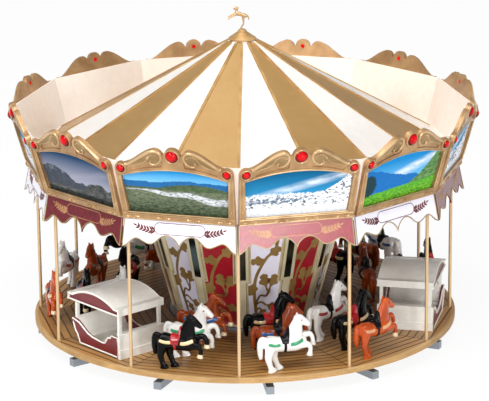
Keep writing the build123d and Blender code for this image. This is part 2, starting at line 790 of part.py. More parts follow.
HORSE_BODY = (
    (-9.9, 0, 13.7, 0.9, 1.0),
    (-9.0, 0, 13.4, 2.4, 2.8),
    (-6.8, 0, 13.1, 3.2, 3.8),
    (-3.0, 0, 12.8, 3.2, 3.6),
    (1.0, 0, 12.8, 3.2, 3.6),
    (5.0, 0, 13.2, 3.2, 3.9),
    (7.8, 0, 13.8, 2.6, 3.1),
    (9.3, 0, 14.2, 1.2, 1.4),
)
HORSE_LIMBS = (
    # neck
    ((3.8, 0, 13.8, 2.7, 4.4), (4.4, 0, 17.8, 2.3, 3.8), (5.2, 0, 21.2, 1.9, 2.8), (6.1, 0, 23.8, 1.6, 2.1)),
    # head
    ((4.9, 0, 24.9, 1.3, 1.4), (6.6, 0, 24.3, 1.7, 2.3), (8.8, 0, 22.9, 1.4, 1.8), (11.0, 0, 21.5, 1.1, 1.2)),
    # hind legs
    (
        (-7.0, -1.7, 12.4, 1.6, 3.0),
        (-7.7, -1.7, 9.2, 1.4, 2.1),
        (-8.2, -1.7, 6.4, 1.1, 1.5),
        (-7.5, -1.7, 3.4, 0.95, 1.1),
        (-6.9, -1.7, 1.7, 1.05, 1.2),
    ),
    (
        (-6.0, 1.7, 12.3, 1.6, 3.0),
        (-5.2, 1.7, 9.0, 1.4, 2.2),
        (-4.9, 1.7, 6.2, 1.1, 1.5),
        (-3.8, 1.7, 3.3, 0.95, 1.1),
        (-3.1, 1.7, 1.7, 1.05, 1.2),
    ),
    # front legs, raised
    (
        (5.6, -1.6, 12.6, 1.4, 2.4),
        (8.4, -1.7, 12.4, 1.25, 1.7),
        (10.5, -1.7, 12.2, 1.15, 1.3),
        (11.4, -1.7, 10.5, 0.95, 1.05),
        (11.3, -1.7, 8.3, 0.86, 0.92),
    ),
    (
        (5.6, 1.4, 13.6, 1.3, 2.2),
        (8.9, 1.7, 15.6, 1.25, 1.6),
        (11.5, 1.7, 16.4, 1.15, 1.25),
        (12.9, 1.7, 14.8, 0.95, 1.0),
        (13.3, 1.7, 12.3, 0.86, 0.9),
    ),
    # tail and mane
    (
        (-9.2, 0, 15.0, 0.9, 1.2),
        (-10.9, 0, 15.6, 1.1, 1.3),
        (-11.8, 0, 13.4, 1.2, 1.3),
        (-11.7, 0, 9.6, 1.2, 1.35),
        (-11.3, 0, 6.2, 0.8, 1.0),
    ),
    ((0.9, 0, 17.0, 0.5, 0.8), (2.3, 0, 20.8, 0.6, 1.0), (3.9, 0, 24.0, 0.6, 1.0), (5.6, 0, 26.0, 0.5, 0.6)),
)
# hooves: (x, y, z) of the sole and the leg's direction above it
HOOVES = (
    ((-6.3, -1.7, 0.0), (-0.4, 0, 1.8)),
    ((-2.5, 1.7, 0.0), (-0.4, 0, 1.8)),
    ((11.0, -1.7, 6.9), (0.25, 0, 1.8)),
    ((13.2, 1.7, 10.8), (0.1, 0, 1.8)),
)
HOOF_L = 1.75  # half of a hind hoof, which stands on the deck
SADDLE_FOOT = 12.4  # height of the saddle's flaps above the soles
SADDLE_L = 4.4
SADDLE_T = 0.35
GIRTH_W = 1.3
GIRTH_T = 0.22


def horse_solid():
    with BuildPart() as horse:
        add(limb(HORSE_BODY))
        for stations in HORSE_LIMBS:
            add(limb(stations))
        for sole, rise in HOOVES:
            stands = sole[2] == 0
            with BuildSketch(Plane(sole, x_dir=(0, 1, 0), z_dir=(0, 0, 1) if stands else rise)):
                Ellipse(1.2, HOOF_L if stands else 1.3)
            with BuildSketch(Plane(Vector(*sole) + Vector(*rise), x_dir=(0, 1, 0), z_dir=rise)):
                Ellipse(1.0, 1.15)
            loft()
        for hand in (-1, 1):
            with Locations(Location((5.7, hand * 0.8, 26.0), (hand * -12, 10, 0))):
                Cone(0.55, 0.12, 1.6)
    return horse.part


def fattened(stations, extra):
    return limb([(x, y, z, a + extra, b + extra) for x, y, z, a, b in stations])


def horse_tack(horse):
    """A saddle and its girth, which wrap the barrel of the body."""
    seated = (Align.CENTER, Align.CENTER, Align.MIN)
    hanging = (Align.CENTER, Align.CENTER, Align.MAX)
    with BuildPart() as saddle:
        add(fattened(HORSE_BODY, SADDLE_T))
        with Locations((0, 0, SADDLE_FOOT)):
            Box(SADDLE_L, 20, 8.0, align=seated, mode=Mode.INTERSECT)
        add(horse, mode=Mode.SUBTRACT)
    with BuildPart() as girth:
        add(fattened(HORSE_BODY, GIRTH_T))
        with Locations((0, 0, SADDLE_FOOT - CLEAR)):
            Box(GIRTH_W, 20, 5.0, align=hanging, mode=Mode.INTERSECT)
        add(horse, mode=Mode.SUBTRACT)
    return saddle.part, girth.part


# coat and saddle of the three horses abreast at each azimuth, from the outside in
HORSES = {
    -17.4: (("black", "red"), ("white", "black"), ("bay", "black")),
    12.8: (("white", "black"), ("bay", "black"), ("black", "red")),
    41.5: (("sorrel", "black"), ("black", "red"), ("white", "black")),
    102.6: (("black", "red"), ("white", "black"), ("bay", "black")),
    132.6: (("white", "black"), ("bay", "black"), ("black", "red")),
    162.6: (("bay", "black"), ("black", "red"), ("white", "black")),
    222.6: (("black", "red"), ("white", "black"), ("bay", "red")),
    252.6: (("white", "black"), ("bay", "black"), ("black", "red")),
    282.6: (("sorrel", "black"), ("black", "red"), ("white", "black")),
}


def make_horses():
    horse = horse_solid()
    saddle, girth = horse_tack(horse)
    coats = {}
    seats = {}
    for azimuth, team in HORSES.items():
        for radius, (coat, seat) in zip(HORSE_ROWS, team):
            place = standing_place(azimuth, radius, DECK_TOP)
            coats.setdefault(coat, []).append(place)
            seats.setdefault(seat, []).append(place)
    for coat, places in coats.items():
        save_copies(horse, places, f"horses_{coat}")
    for seat, places in seats.items():
        pieces = [piece.moved(place) for place in places for piece in (saddle, girth)]
        save(Compound(children=pieces), f"saddles_{seat}")


FINIAL_LIMBS = (
    # body, neck and head
    (
        (-3.7, 0, 7.0, 0.5, 0.5),
        (-2.4, 0, 7.3, 0.85, 1.0),
        (0, 0, 6.7, 0.8, 0.9),
        (1.7, 0, 6.2, 0.85, 0.9),
        (2.6, 0, 5.9, 0.4, 0.4),
    ),
    ((-2.6, 0, 7.0, 0.7, 0.95), (-2.5, 0, 8.6, 0.5, 0.7), (-2.2, 0, 10.0, 0.42, 0.55)),
    ((-1.7, 0, 10.4, 0.35, 0.35), (-2.6, 0, 10.1, 0.45, 0.6), (-4.0, 0, 9.3, 0.28, 0.32)),
    # front legs, stretched out
    ((-2.9, -0.5, 6.8, 0.4, 0.6), (-5.0, -0.5, 5.8, 0.35, 0.4), (-6.8, -0.5, 4.5, 0.28, 0.3)),
    ((-2.9, 0.5, 7.0, 0.4, 0.6), (-5.0, 0.5, 6.4, 0.35, 0.4), (-6.6, 0.5, 5.4, 0.28, 0.3)),
    # hind legs together, and the tail
    (
        (1.2, 0, 6.0, 0.75, 0.8),
        (0.5, 0, 4.6, 0.7, 0.6),
        (0.7, 0, 3.0, 0.55, 0.4),
        (0.2, 0, 1.4, 0.5, 0.36),
        (-0.7, 0, 0.12, 0.5, 0.4),
    ),
    ((2.0, 0, 6.3, 0.35, 0.4), (3.0, 0, 5.6, 0.3, 0.35), (3.1, 0, 4.2, 0.2, 0.2)),
)


def make_finial(knob_top):
    """A small horse rearing on the knob, facing -X."""
    with BuildPart() as finial:
        for stations in FINIAL_LIMBS:
            add(limb(stations))
    save(finial.part.moved(Location((0, 0, knob_top))), "roof_finial")


# ---------------------------------------------------------------- carriages
CAR_L = 38.6  # roof, along the way it travels
CAR_W = 27.0
CAR_EAVES = 20.8
CAR_FASCIA = 3.3
CAR_RISE = 3.8
CAR_FRONT = 18.4
CAR_FRONT_H = 11.8
CAR_BOARD = 1.0
CAR_POST = 1.5
CAR_FOOT = 0.6
CAR_FLOOR_T = 1.6
CAR_TAIL = 10.2
CAR_SHELF = 2.6  # behind the front board
CAR_REAR_POST_X = -14.2
CAR_REAR_POST_Z = 9.0
CAR_SHOULDER = 3.4  # flat ends of the roof beside its bow
GABLE_T = 0.8
GABLE_INSET = 0.6
GABLE_SHOULDER = 2.8
# lower side: a step at the low front, then an S-curve up to the seat's back
CAR_SIDE_TOP = (
    (13.6, 10.4),
    (12.8, 9.0),
    (10.8, 8.8),
    (8.6, 5.6),
    (6.8, 5.4),
    (-0.6, 6.1),
    (-3.8, 7.0),
    (-7.4, 9.0),
    (-10.6, 11.0),
)
CAR_SIDE_TAIL = ((-15.8, 12.0), (-15.4, 10.0), (-13.8, 6.2), (-12.2, 4.6), (-10.4, 0.6))
# the seat's back, seen from the side
SEAT_BACK = ((-14.9, 12.6), (-13.2, 9.0), (-11.0, 6.8), (-9.4, 4.4), (-9.0, 1.6))


def make_carriages():
    width = CAR_W - 2 * CAR_BOARD
    with BuildPart() as floor:
        with Locations(((CAR_FRONT - CAR_TAIL) / 2, 0, 0)):
            Box(CAR_FRONT + CAR_TAIL, width, CAR_FLOOR_T, align=(Align.CENTER, Align.CENTER, Align.MIN))
    with BuildPart() as front:
        with Locations((CAR_FRONT, 0, 0)):
            Box(CAR_BOARD, CAR_W, CAR_FRONT_H, align=(Align.MIN, Align.CENTER, Align.MIN))
        with Locations((CAR_FRONT + CAR_BOARD, 0, 0)):
            Box(CAR_BOARD / 2, CAR_W, CAR_FRONT_H / 3, align=(Align.MIN, Align.CENTER, Align.MIN))
        with Locations((CAR_FRONT - CAR_SHELF, 0, CAR_FRONT_H - CAR_BOARD)):
            Box(CAR_SHELF, CAR_W - 2 * CAR_POST, CAR_BOARD, align=(Align.MIN, Align.CENTER, Align.MIN))
    with BuildPart() as seat:
        with BuildSketch(Plane.XZ.offset(-width / 2)):
            with BuildLine():
                Spline(*SEAT_BACK)
                Polyline(SEAT_BACK[-1], (-4.0, 1.6), (-4.0, 5.2), (-7.6, 5.6))
                Spline((-7.6, 5.6), (-9.4, 8.0), (-12.0, 10.6), (-13.9, 13.0))
                Line((-13.9, 13.0), SEAT_BACK[0])
            make_face()
        extrude(amount=width)
    with BuildPart() as sides:
        for y in (-CAR_W / 2 + CAR_BOARD, CAR_W / 2):
            with BuildSketch(Plane.XZ.offset(-y)):
                with BuildLine():
                    Polyline(CAR_SIDE_TAIL[-1], (CAR_FRONT, CAR_FOOT), (CAR_FRONT, 10.4), *CAR_SIDE_TOP[:5])
                    Spline(*CAR_SIDE_TOP[4:], CAR_SIDE_TAIL[0])
                    Polyline(*CAR_SIDE_TAIL)
                make_face()
            extrude(amount=CAR_BOARD)
    post_x = CAR_FRONT - CAR_POST / 2
    post_y = CAR_W / 2 - CAR_BOARD - CAR_POST / 2 - CLEAR
    with BuildPart() as posts:
        for x, foot in ((post_x, CAR_FLOOR_T), (CAR_REAR_POST_X, CAR_REAR_POST_Z)):
            with Locations((x, -post_y, foot), (x, post_y, foot)):
                Box(CAR_POST, CAR_POST, CAR_EAVES - foot, align=(Align.CENTER, Align.CENTER, Align.MIN))
    with BuildPart() as roof:
        half = CAR_L / 2
        top = CAR_EAVES + CAR_FASCIA
        ceiling = top - CAR_BOARD
        outer_bow = half - CAR_SHOULDER
        inner_bow = outer_bow - 0.4 * CAR_BOARD
        with BuildSketch(Plane.XZ.offset(-CAR_W / 2)):
            with BuildLine():
                Polyline(
                    (outer_bow, top),
                    (half, top),
                    (half, CAR_EAVES),
                    (half - CAR_BOARD, CAR_EAVES),
                    (half - CAR_BOARD, ceiling),
                    (inner_bow, ceiling),
                )
                ThreePointArc((inner_bow, ceiling), (0, ceiling + CAR_RISE), (-inner_bow, ceiling))
                Polyline(
                    (-inner_bow, ceiling),
                    (CAR_BOARD - half, ceiling),
                    (CAR_BOARD - half, CAR_EAVES),
                    (-half, CAR_EAVES),
                    (-half, top),
                    (-outer_bow, top),
                )
                ThreePointArc((-outer_bow, top), (0, top + CAR_RISE), (outer_bow, top))
            make_face()
        extrude(amount=CAR_W)
    with BuildPart() as gables:
        inner = CAR_L / 2 - CAR_BOARD - CLEAR
        under = ceiling - CLEAR
        gable_bow = inner - GABLE_SHOULDER
        for y in (-CAR_W / 2 + GABLE_INSET + GABLE_T, CAR_W / 2 - GABLE_INSET):
            with BuildSketch(Plane.XZ.offset(-y)):
                with BuildLine():
                    Polyline(
                        (-gable_bow, under),
                        (-inner, under),
                        (-inner, CAR_EAVES),
                        (inner, CAR_EAVES),
                        (inner, under),
                        (gable_bow, under),
                    )
                    ThreePointArc((gable_bow, under), (0, under + CAR_RISE), (-gable_bow, under))
                make_face()
            extrude(amount=GABLE_T)
    with BuildPart() as cut_sides:
        add(sides.part)
        add(front.part, mode=Mode.SUBTRACT)
        add(floor.part, mode=Mode.SUBTRACT)
    with BuildPart() as cut_seat:
        add(seat.part)
        add(floor.part, mode=Mode.SUBTRACT)
        add(posts.part, mode=Mode.SUBTRACT)
    with BuildPart() as cut_posts:
        add(posts.part)
        add(front.part, mode=Mode.SUBTRACT)
        add(gables.part, mode=Mode.SUBTRACT)

    def place_all(part, name):
        pieces = []
        for azimuth, radius, facing in CARRIAGES:
            piece = part if facing > 0 else part.mirror(Plane.YZ)
            pieces += piece.moved(standing_place(azimuth, radius, DECK_TOP)).solids()
        save(Compound(children=pieces), name)

    place_all(floor.part, "carriage_floors")
    place_all(front.part, "carriage_fronts")
    place_all(cut_seat.part, "carriage_seats")
    place_all(cut_sides.part, "carriage_sides")
    place_all(cut_posts.part, "carriage_posts")
    place_all(roof.part, "carriage_roofs")
    place_all(gables.part, "carriage_gables")


# ---------------------------------------------------------------- the movement
def make_movement(boss_top):
    with BuildPart() as bedplate:
        with BuildSketch(Plane.XY.offset(BED_Z)):
            with Locations((BEDPLATE_X, 0)):
                RectangleRounded(BEDPLATE_L, BEDPLATE_W, BEDPLATE_ROUND)
        extrude(amount=BEDPLATE_T)
        with BuildSketch(Plane.XY.offset(BED_Z + BEDPLATE_T)):
            Circle(BEARING_R)
        extrude(amount=BARREL_Z - BED_Z - BEDPLATE_T - BACKLASH)
        with Locations((0, 0, BARREL_Z)):
            Hole(ARBOR_R + CLEAR)
        with Locations(*[(x, y, BED_Z + BEDPLATE_T) for x, y in bed_screw_places()]):
            Hole(SCREW_D / 2)
    save(bedplate.part, "movement_bedplate")

    with BuildPart() as screw:
        Cylinder(SCREW_D / 2 - CLEAR, BEDPLATE_T, align=(Align.CENTER, Align.CENTER, Align.MAX))
        Cylinder(SCREW_D * 0.85, 0.8, align=(Align.CENTER, Align.CENTER, Align.MIN))
        with Locations((0, 0, 0.8)):
            Box(SCREW_D * 2, SLOT_W, 0.6, mode=Mode.SUBTRACT)
    places = [Location((x, y, BED_Z + BEDPLATE_T)) for x, y in bed_screw_places()]
    save_copies(screw.part, places, "movement_screws")

    barrel_top = BARREL_Z + BARREL_H
    teeth_z = CYLINDER_Z - TRAIN_MODULE * PINION_TEETH / 2
    pitch_r = TRAIN_MODULE * CROWN_TEETH / 2
    tooth = crown_tooth(pitch_r, teeth_z, barrel_top)
    with BuildPart() as barrel:
        with BuildSketch(Plane.XZ):
            Polygon(
                (ARBOR_R + CLEAR, BARREL_Z),
                (BARREL_R, BARREL_Z),
                (BARREL_R, barrel_top),
                (0, barrel_top),
                (0, barrel_top - BARREL_WALL),
                (BARREL_R - BARREL_WALL, barrel_top - BARREL_WALL),
                (BARREL_R - BARREL_WALL, BARREL_Z + BARREL_WALL),
                (ARBOR_R + CLEAR, BARREL_Z + BARREL_WALL),
                align=None,
            )
        revolve(axis=Axis.Z)
        with PolarLocations(0, CROWN_TEETH):
            add(tooth.part)
    save(barrel.part, "spring_barrel")

    with BuildPart() as spindle:
        with Locations((0, 0, barrel_top)):
            Cylinder(SPINDLE_R, boss_top - barrel_top, align=(Align.CENTER, Align.CENTER, Align.MIN))
        with Locations((0, 0, barrel_top)):
            Cylinder(2 * SPINDLE_R, 1.0, align=(Align.CENTER, Align.CENTER, Align.MIN))
    save(spindle.part, "spindle")

    with BuildPart() as cylinder:
        with Locations(Location((CYLINDER_X, 0, CYLINDER_Z), (0, 90, 0))):
            Cylinder(CYLINDER_R, CYLINDER_L, align=(Align.CENTER, Align.CENTER, Align.MIN))
        with Locations(Location((BRIDGE_X, 0, CYLINDER_Z), (0, 90, 0))):
            Cylinder(
                CYLINDER_ARBOR_R,
                BRACKET_X + BRACKET_T - BRIDGE_X,
                align=(Align.CENTER, Align.CENTER, Align.MIN),
            )
        pinion_foot = (pitch_r - PINION_FACE_W / 2, 0, CYLINDER_Z)
        with BuildSketch(Plane(pinion_foot, x_dir=(0, 0, -1), z_dir=(1, 0, 0))):
            with PolarLocations(0, 1, start_angle=180 / PINION_TEETH):
                Polygon(*tooth_outline(PINION_TEETH, TRAIN_MODULE, BACKLASH), align=None)
        extrude(amount=PINION_FACE_W)
        with BuildSketch(Plane((FLY_WHEEL_X, 0, CYLINDER_Z), x_dir=(0, -1, 0), z_dir=(1, 0, 0))):
            Polygon(*tooth_outline(FLY_WHEEL_TEETH, FLY_MODULE, BACKLASH), align=None)
        extrude(amount=WHEEL_T)
        for track in range(TRACKS):
            x = CYLINDER_X + (track + 0.5) * TRACK_PITCH
            for note in range(4):
                angle = (track * 67 + note * 90 + (track % 3) * 25) % 360
                if 70 < angle < 110:
                    continue
                with Locations(Location((x, 0, CYLINDER_Z), (angle - 90, 0, 0))):
                    with Locations((0, 0, CYLINDER_R - 0.3)):
                        Cylinder(PIN_D / 2, PIN_H + 0.3, align=(Align.CENTER, Align.CENTER, Align.MIN))
    save(cylinder.part, "pin_cylinder")

    fly_y = -FLY_REACH
    with BuildPart() as fly:
        with Locations(Location((CYLINDER_X, fly_y, CYLINDER_Z), (0, 90, 0))):
            Cylinder(
                FLY_ARBOR_R,
                BRACKET_X + BRACKET_T - CYLINDER_X,
                align=(Align.CENTER, Align.CENTER, Align.MIN),
            )
        with BuildSketch(Plane((FLY_WHEEL_X, fly_y, CYLINDER_Z), x_dir=(0, 1, 0), z_dir=(1, 0, 0))):
            with PolarLocations(0, 1, start_angle=180 / FLY_PINION_TEETH):
                Polygon(*tooth_outline(FLY_PINION_TEETH, FLY_MODULE, BACKLASH), align=None)
        extrude(amount=WHEEL_T)
        with Locations((CYLINDER_X + 6, fly_y, CYLINDER_Z)):
            Box(8, 0.5, 6.4)
    save(fly.part, "governor_fly")

    with BuildPart() as bridge:
        with Locations((BRIDGE_X + BRIDGE_T / 2, 0, CYLINDER_Z)):
            Box(BRIDGE_T, BRIDGE_W, BRIDGE_H)
        for y in (BRIDGE_LEG / 2 - BRIDGE_W / 2, BRIDGE_W / 2 - BRIDGE_LEG / 2):
            with Locations((BRIDGE_X + BRIDGE_T / 2, y, BED_Z + BEDPLATE_T)):
                leg_h = CYLINDER_Z - BED_Z - BEDPLATE_T
                Box(BRIDGE_T, BRIDGE_LEG, leg_h, align=(Align.CENTER, Align.CENTER, Align.MIN))
        with Locations(Location((BRIDGE_X + BRIDGE_T, 0, CYLINDER_Z), (0, 90, 0))):
            Hole(CYLINDER_ARBOR_R + CLEAR)
    save(bridge.part, "barrel_bridge")

    bracket_foot = BED_Z + BEDPLATE_T
    bracket_top = CYLINDER_Z + 2
    with BuildPart() as bracket:
        with BuildSketch(Plane.YZ.offset(BRACKET_X)):
            Polygon(
                (3, bracket_foot),
                (3, bracket_top),
                (fly_y - 2, bracket_top),
                (fly_y - 2, CYLINDER_Z - 3),
                (fly_y + 4, bracket_foot),
                align=None,
            )
        extrude(amount=BRACKET_T)
        with Locations(Location((BRACKET_X + BRACKET_T, 0, CYLINDER_Z), (0, 90, 0))):
            Hole(CYLINDER_ARBOR_R + CLEAR)
        with Locations(Location((BRACKET_X + BRACKET_T, fly_y, CYLINDER_Z), (0, 90, 0))):
            Hole(FLY_ARBOR_R + CLEAR)
    save(bracket.part, "train_bracket")

    tip_y = CYLINDER_R + PIN_H + BACKLASH
    comb_top = CYLINDER_Z + COMB_SPINE_T / 2
    comb_under = CYLINDER_Z - COMB_SPINE_T / 2
    with BuildPart() as comb:
        with Locations((CYLINDER_X, COMB_Y, CYLINDER_Z)):
            Box(CYLINDER_L, COMB_SPINE_W, COMB_SPINE_T, align=(Align.MIN, Align.MIN, Align.CENTER))
        tine_l = COMB_Y + 0.1 - tip_y
        for track in range(TRACKS):
            with Locations((CYLINDER_X + (track + 0.5) * TRACK_PITCH, tip_y, CYLINDER_Z)):
                Box(TRACK_PITCH - TINE_GAP, tine_l, TINE_T, align=(Align.CENTER, Align.MIN, Align.CENTER))
        with Locations(*[(x, COMB_SCREW_Y, comb_top) for x in comb_screw_places()]):
            Hole(SCREW_D / 2)
    save(comb.part, "comb")
    with BuildPart() as stand:
        with Locations((CYLINDER_X, 12.9, BED_Z + BEDPLATE_T)):
            Box(
                CYLINDER_L,
                3.2,
                comb_under - BED_Z - BEDPLATE_T,
                align=(Align.MIN, Align.MIN, Align.MIN),
            )
        with Locations(*[(x, COMB_SCREW_Y, comb_under) for x in comb_screw_places()]):
            Hole(SCREW_D / 2 - CLEAR, depth=3.0)
    save(stand.part, "comb_stand")
    with BuildPart() as comb_screw:
        Cylinder(SCREW_D / 2 - CLEAR, 3.2, align=(Align.CENTER, Align.CENTER, Align.MAX))
        Cylinder(SCREW_D * 0.75, 0.8, align=(Align.CENTER, Align.CENTER, Align.MIN))
        with Locations((0, 0, 0.8)):
            Box(SCREW_D * 2, SLOT_W, 0.6, mode=Mode.SUBTRACT)
    places = [Location((x, COMB_SCREW_Y, comb_top)) for x in comb_screw_places()]
    save_copies(comb_screw.part, places, "comb_screws")


def crown_tooth(pitch_r, pitch_z, foot_z):
    """One upright tooth of the barrel's crown wheel, at azimuth +X."""
    low = TRAIN_MODULE
    high = 0.9 * TRAIN_MODULE
    thick = pi * TRAIN_MODULE / 4 - BACKLASH / 2
    slant = tan(radians(20))
    with BuildPart() as tooth:
        with BuildSketch(Plane((pitch_r - CROWN_FACE_W / 2, 0, pitch_z), x_dir=(0, 1, 0), z_dir=(1, 0, 0))):
            Polygon(
                (-thick - low * slant, foot_z - pitch_z),
                (thick + low * slant, foot_z - pitch_z),
                (thick - high * slant, high),
                (-thick + high * slant, high),
                align=None,
            )
        extrude(amount=CROWN_FACE_W)
    return tooth


def bed_screw_places():
    return ((-14, -9), (-14, 9), (10, -13.6), (10, 13.6))


def comb_screw_places():
    return (CYLINDER_X + 3, CYLINDER_X + CYLINDER_L - 3)


def make_key():
    """A butterfly key in the hub's recess; its arbor winds the spring from below."""
    with BuildPart() as key:
        with Locations((0, 0, KEY_Z)):
            arbor_h = BARREL_Z + BARREL_H - BARREL_WALL - KEY_Z - BACKLASH
            Cylinder(ARBOR_R, arbor_h, align=(Align.CENTER, Align.CENTER, Align.MIN))
            Cylinder(KEY_COLLAR_R, KEY_COLLAR_H, align=(Align.CENTER, Align.CENTER, Align.MIN))
        with BuildSketch(Plane.XZ.offset(-WING_T / 2)):
            with Locations((-WING_X, WING_Z), (WING_X, WING_Z)):
                Circle(WING_R)
            with Locations((0, WING_Z)):
                Rectangle(2 * WING_X, 2 * WING_EYE_R)
            with Locations((-WING_X, WING_Z), (WING_X, WING_Z)):
                Circle(WING_EYE_R, mode=Mode.SUBTRACT)
        extrude(amount=WING_T)
        rounds = key.edges().filter_by(GeomType.CIRCLE)
        fillet(rounds.filter_by(lambda edge: abs(edge.radius - WING_R) < 0.01), 0.3)
    save(key.part, "winding_key")


if __name__ == "__main__":
    make_stand()
    make_deck()
    make_posts()
    make_crown_wall()
    make_frames()
    make_jewels()
    make_pictures()
    make_valances()
    cap_top, boss_top = make_roof()
    make_drum()
    make_horses()
    make_finial(cap_top)
    make_carriages()
    make_movement(boss_top)
    make_key()
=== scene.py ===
import math

import bmesh
import bpy
from mathutils import Matrix, Vector
from mathutils.bvhtree import BVHTree


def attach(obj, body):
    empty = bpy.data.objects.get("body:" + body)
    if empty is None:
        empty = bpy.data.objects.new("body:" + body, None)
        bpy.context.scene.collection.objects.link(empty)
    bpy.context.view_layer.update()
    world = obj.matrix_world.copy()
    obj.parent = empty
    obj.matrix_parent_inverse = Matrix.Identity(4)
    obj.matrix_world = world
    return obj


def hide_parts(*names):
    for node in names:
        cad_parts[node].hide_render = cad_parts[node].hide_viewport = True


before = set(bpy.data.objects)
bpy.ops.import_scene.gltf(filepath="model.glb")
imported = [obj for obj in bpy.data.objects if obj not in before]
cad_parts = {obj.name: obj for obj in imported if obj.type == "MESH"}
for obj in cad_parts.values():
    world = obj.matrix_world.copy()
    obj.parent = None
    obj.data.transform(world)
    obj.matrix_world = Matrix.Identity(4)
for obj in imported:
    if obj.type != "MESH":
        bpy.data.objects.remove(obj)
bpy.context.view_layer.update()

MM = 0.001
FULL_TURN = 2 * math.pi

# ---------------------------------------------------------------- the carousel's own sizes, mm
SIDES = 12
SIDE_TURN = FULL_TURN / SIDES
DECK_TOP = 8.6
CROWN_Z = 82.0
CROWN_TILT = math.radians(15.1)
CROWN_APOTHEM = 100.1
FRAME_FACE = 1.7  # front of the gilt frames, from the crown wall
VALANCE_FLARE = math.radians(11.3)
FACETS = 16
ROOF_EAVES = 97.0
SHINGLE_W = 5.2
SHINGLE_H = 2.6
DRUM_FACES = 12
DRUM_Z = 9.4
DRUM_APOTHEM = 33.1
DRUM_FLARE = math.radians(14.3)
PICTURE_FOOT = 3.1  # up the crown wall's slope
# which of the four printed views each side has, from the back left round the front to the back right
VIEW_ORDER = (2, 1, 3, 1, 3, 0, 1, 2, 1, 0, 3, 2)
PLATE_FACE = 2.1  # front of the flat round each stone, from the crown wall
# each stone's x and y on its frame, and its collar's radius
STONE_PLACES = ((0, 34.0, 3.2), (-24.7, 26.4, 2.28), (24.7, 26.4, 2.28))
PLANK_START = 37.3  # radius of the deck's hole
PLANK_W = 3.8


# ---------------------------------------------------------------- paints
def tint(code):
    """A colour written as six hex digits, as linear RGBA."""
    parts = [int(code[i : i + 2], 16) / 255 for i in (0, 2, 4)]
    return tuple(c / 12.92 if c < 0.04045 else ((c + 0.055) / 1.055) ** 2.4 for c in parts) + (1.0,)


class Tone:
    """A value in a paint's node tree. Arithmetic on it adds Math nodes."""

    def __init__(self, paint, socket):
        self.paint = paint
        self.socket = socket

    def maths(self, operation, *values, clamp=False):
        settings = {"operation": operation, "use_clamp": clamp}
        return self.paint.node("ShaderNodeMath", settings, dict(enumerate(values)))

    def __add__(self, other):
        return self.maths("ADD", self, other)

    def __sub__(self, other):
        return self.maths("SUBTRACT", self, other)

    def __rsub__(self, other):
        return self.maths("SUBTRACT", other, self)

    def __mul__(self, other):
        return self.maths("MULTIPLY", self, other)

    def __truediv__(self, other):
        return self.maths("DIVIDE", self, other)

    __radd__ = __add__
    __rmul__ = __mul__

    def floor(self):
        return self.maths("FLOOR", self)

    def fraction(self):
        return self.maths("FRACT", self)

    def size(self):
        return self.maths("ABSOLUTE", self)

    def sin(self):
        return self.maths("SINE", self)

    def cos(self):
        return self.maths("COSINE", self)

    def least(self, other):
        return self.maths("MINIMUM", self, other)

    def most(self, other):
        return self.maths("MAXIMUM", self, other)

    def above(self, edge, soft):
        """1 where the value is above the edge, 0 below it, changing over a width of soft."""
        return self.maths("MULTIPLY_ADD", self - edge, 1 / soft, 0.5, clamp=True)

    def near(self, middle, reach, soft):
        """1 within reach of the middle, 0 outside."""
        return 1 - (self - middle).size().above(reach, soft)


class Paint:
    """A node material, or the world's. node() adds a node and gives back its output as a Tone."""

    def __init__(self, name, library=bpy.data.materials):
        self.material = library.new(name)
        self.material.use_nodes = True
        self.tree = self.material.node_tree
        self.tree.nodes.clear()

    def node(self, kind, settings=None, sockets=None, out=0):
        made = self.tree.nodes.new(kind)
        for key, value in (settings or {}).items():
            if key == "stops":
                ramp = made.color_ramp
                for place, colour in value[2:]:
                    ramp.elements.new(place)
                for stop, (place, colour) in zip(ramp.elements, sorted(value)):
                    stop.position = place
                    stop.color = colour
            elif key == "ramp_steps":
                made.color_ramp.interpolation = value
            else:
                setattr(made, key, value)
        for key, value in (sockets or {}).items():
            if isinstance(value, Tone):
                self.tree.links.new(value.socket, made.inputs[key])
            else:
                made.inputs[key].default_value = value
        return Tone(self, made.outputs[out]) if made.outputs else None

    def place(self):
        """The point on the piece, in millimetres."""
        spot = self.node("ShaderNodeTexCoord", out=3)
        return self.node("ShaderNodeVectorMath", {"operation": "SCALE"}, {0: spot, 3: 1000.0})

    def parts(self, vector):
        return [self.node("ShaderNodeSeparateXYZ", None, {0: vector}, out=i) for i in range(3)]

    def vector(self, x, y, z):
        return self.node("ShaderNodeCombineXYZ", None, {0: x, 1: y, 2: z})

    def stretched(self, vector, factors):
        return self.node("ShaderNodeVectorMath", {"operation": "MULTIPLY"}, {0: vector, 1: factors})

    def noise(self, vector, scale, detail=3.0, rough=0.55):
        sockets = {"Vector": vector, "Scale": scale, "Detail": detail, "Roughness": rough}
        return self.node("ShaderNodeTexNoise", None, sockets)

    def mix(self, mask, low, high):
        """low where the mask is 0, high where it is 1."""
        return self.node("ShaderNodeMix", {"data_type": "RGBA"}, {0: mask, 6: low, 7: high}, out=2)

    def bump(self, height, depth):
        """Relief of that depth in millimetres where the height goes from 0 to 1."""
        return self.node("ShaderNodeBump", None, {"Height": height, "Distance": depth * MM})

    def finish(self, **sockets):
        named = {key.replace("_", " "): value for key, value in sockets.items()}
        skin = self.node("ShaderNodeBsdfPrincipled", None, named)
        self.node("ShaderNodeOutputMaterial", None, {"Surface": skin})
        return self.material

    def seen_by(self, *rays):
        """1 for light rays of those kinds, 0 for the others."""
        masks = [self.node("ShaderNodeLightPath", out=f"Is {ray} Ray") for ray in rays]
        mask = masks[0]
        for other in masks[1:]:
            mask = mask.most(other)
        return mask


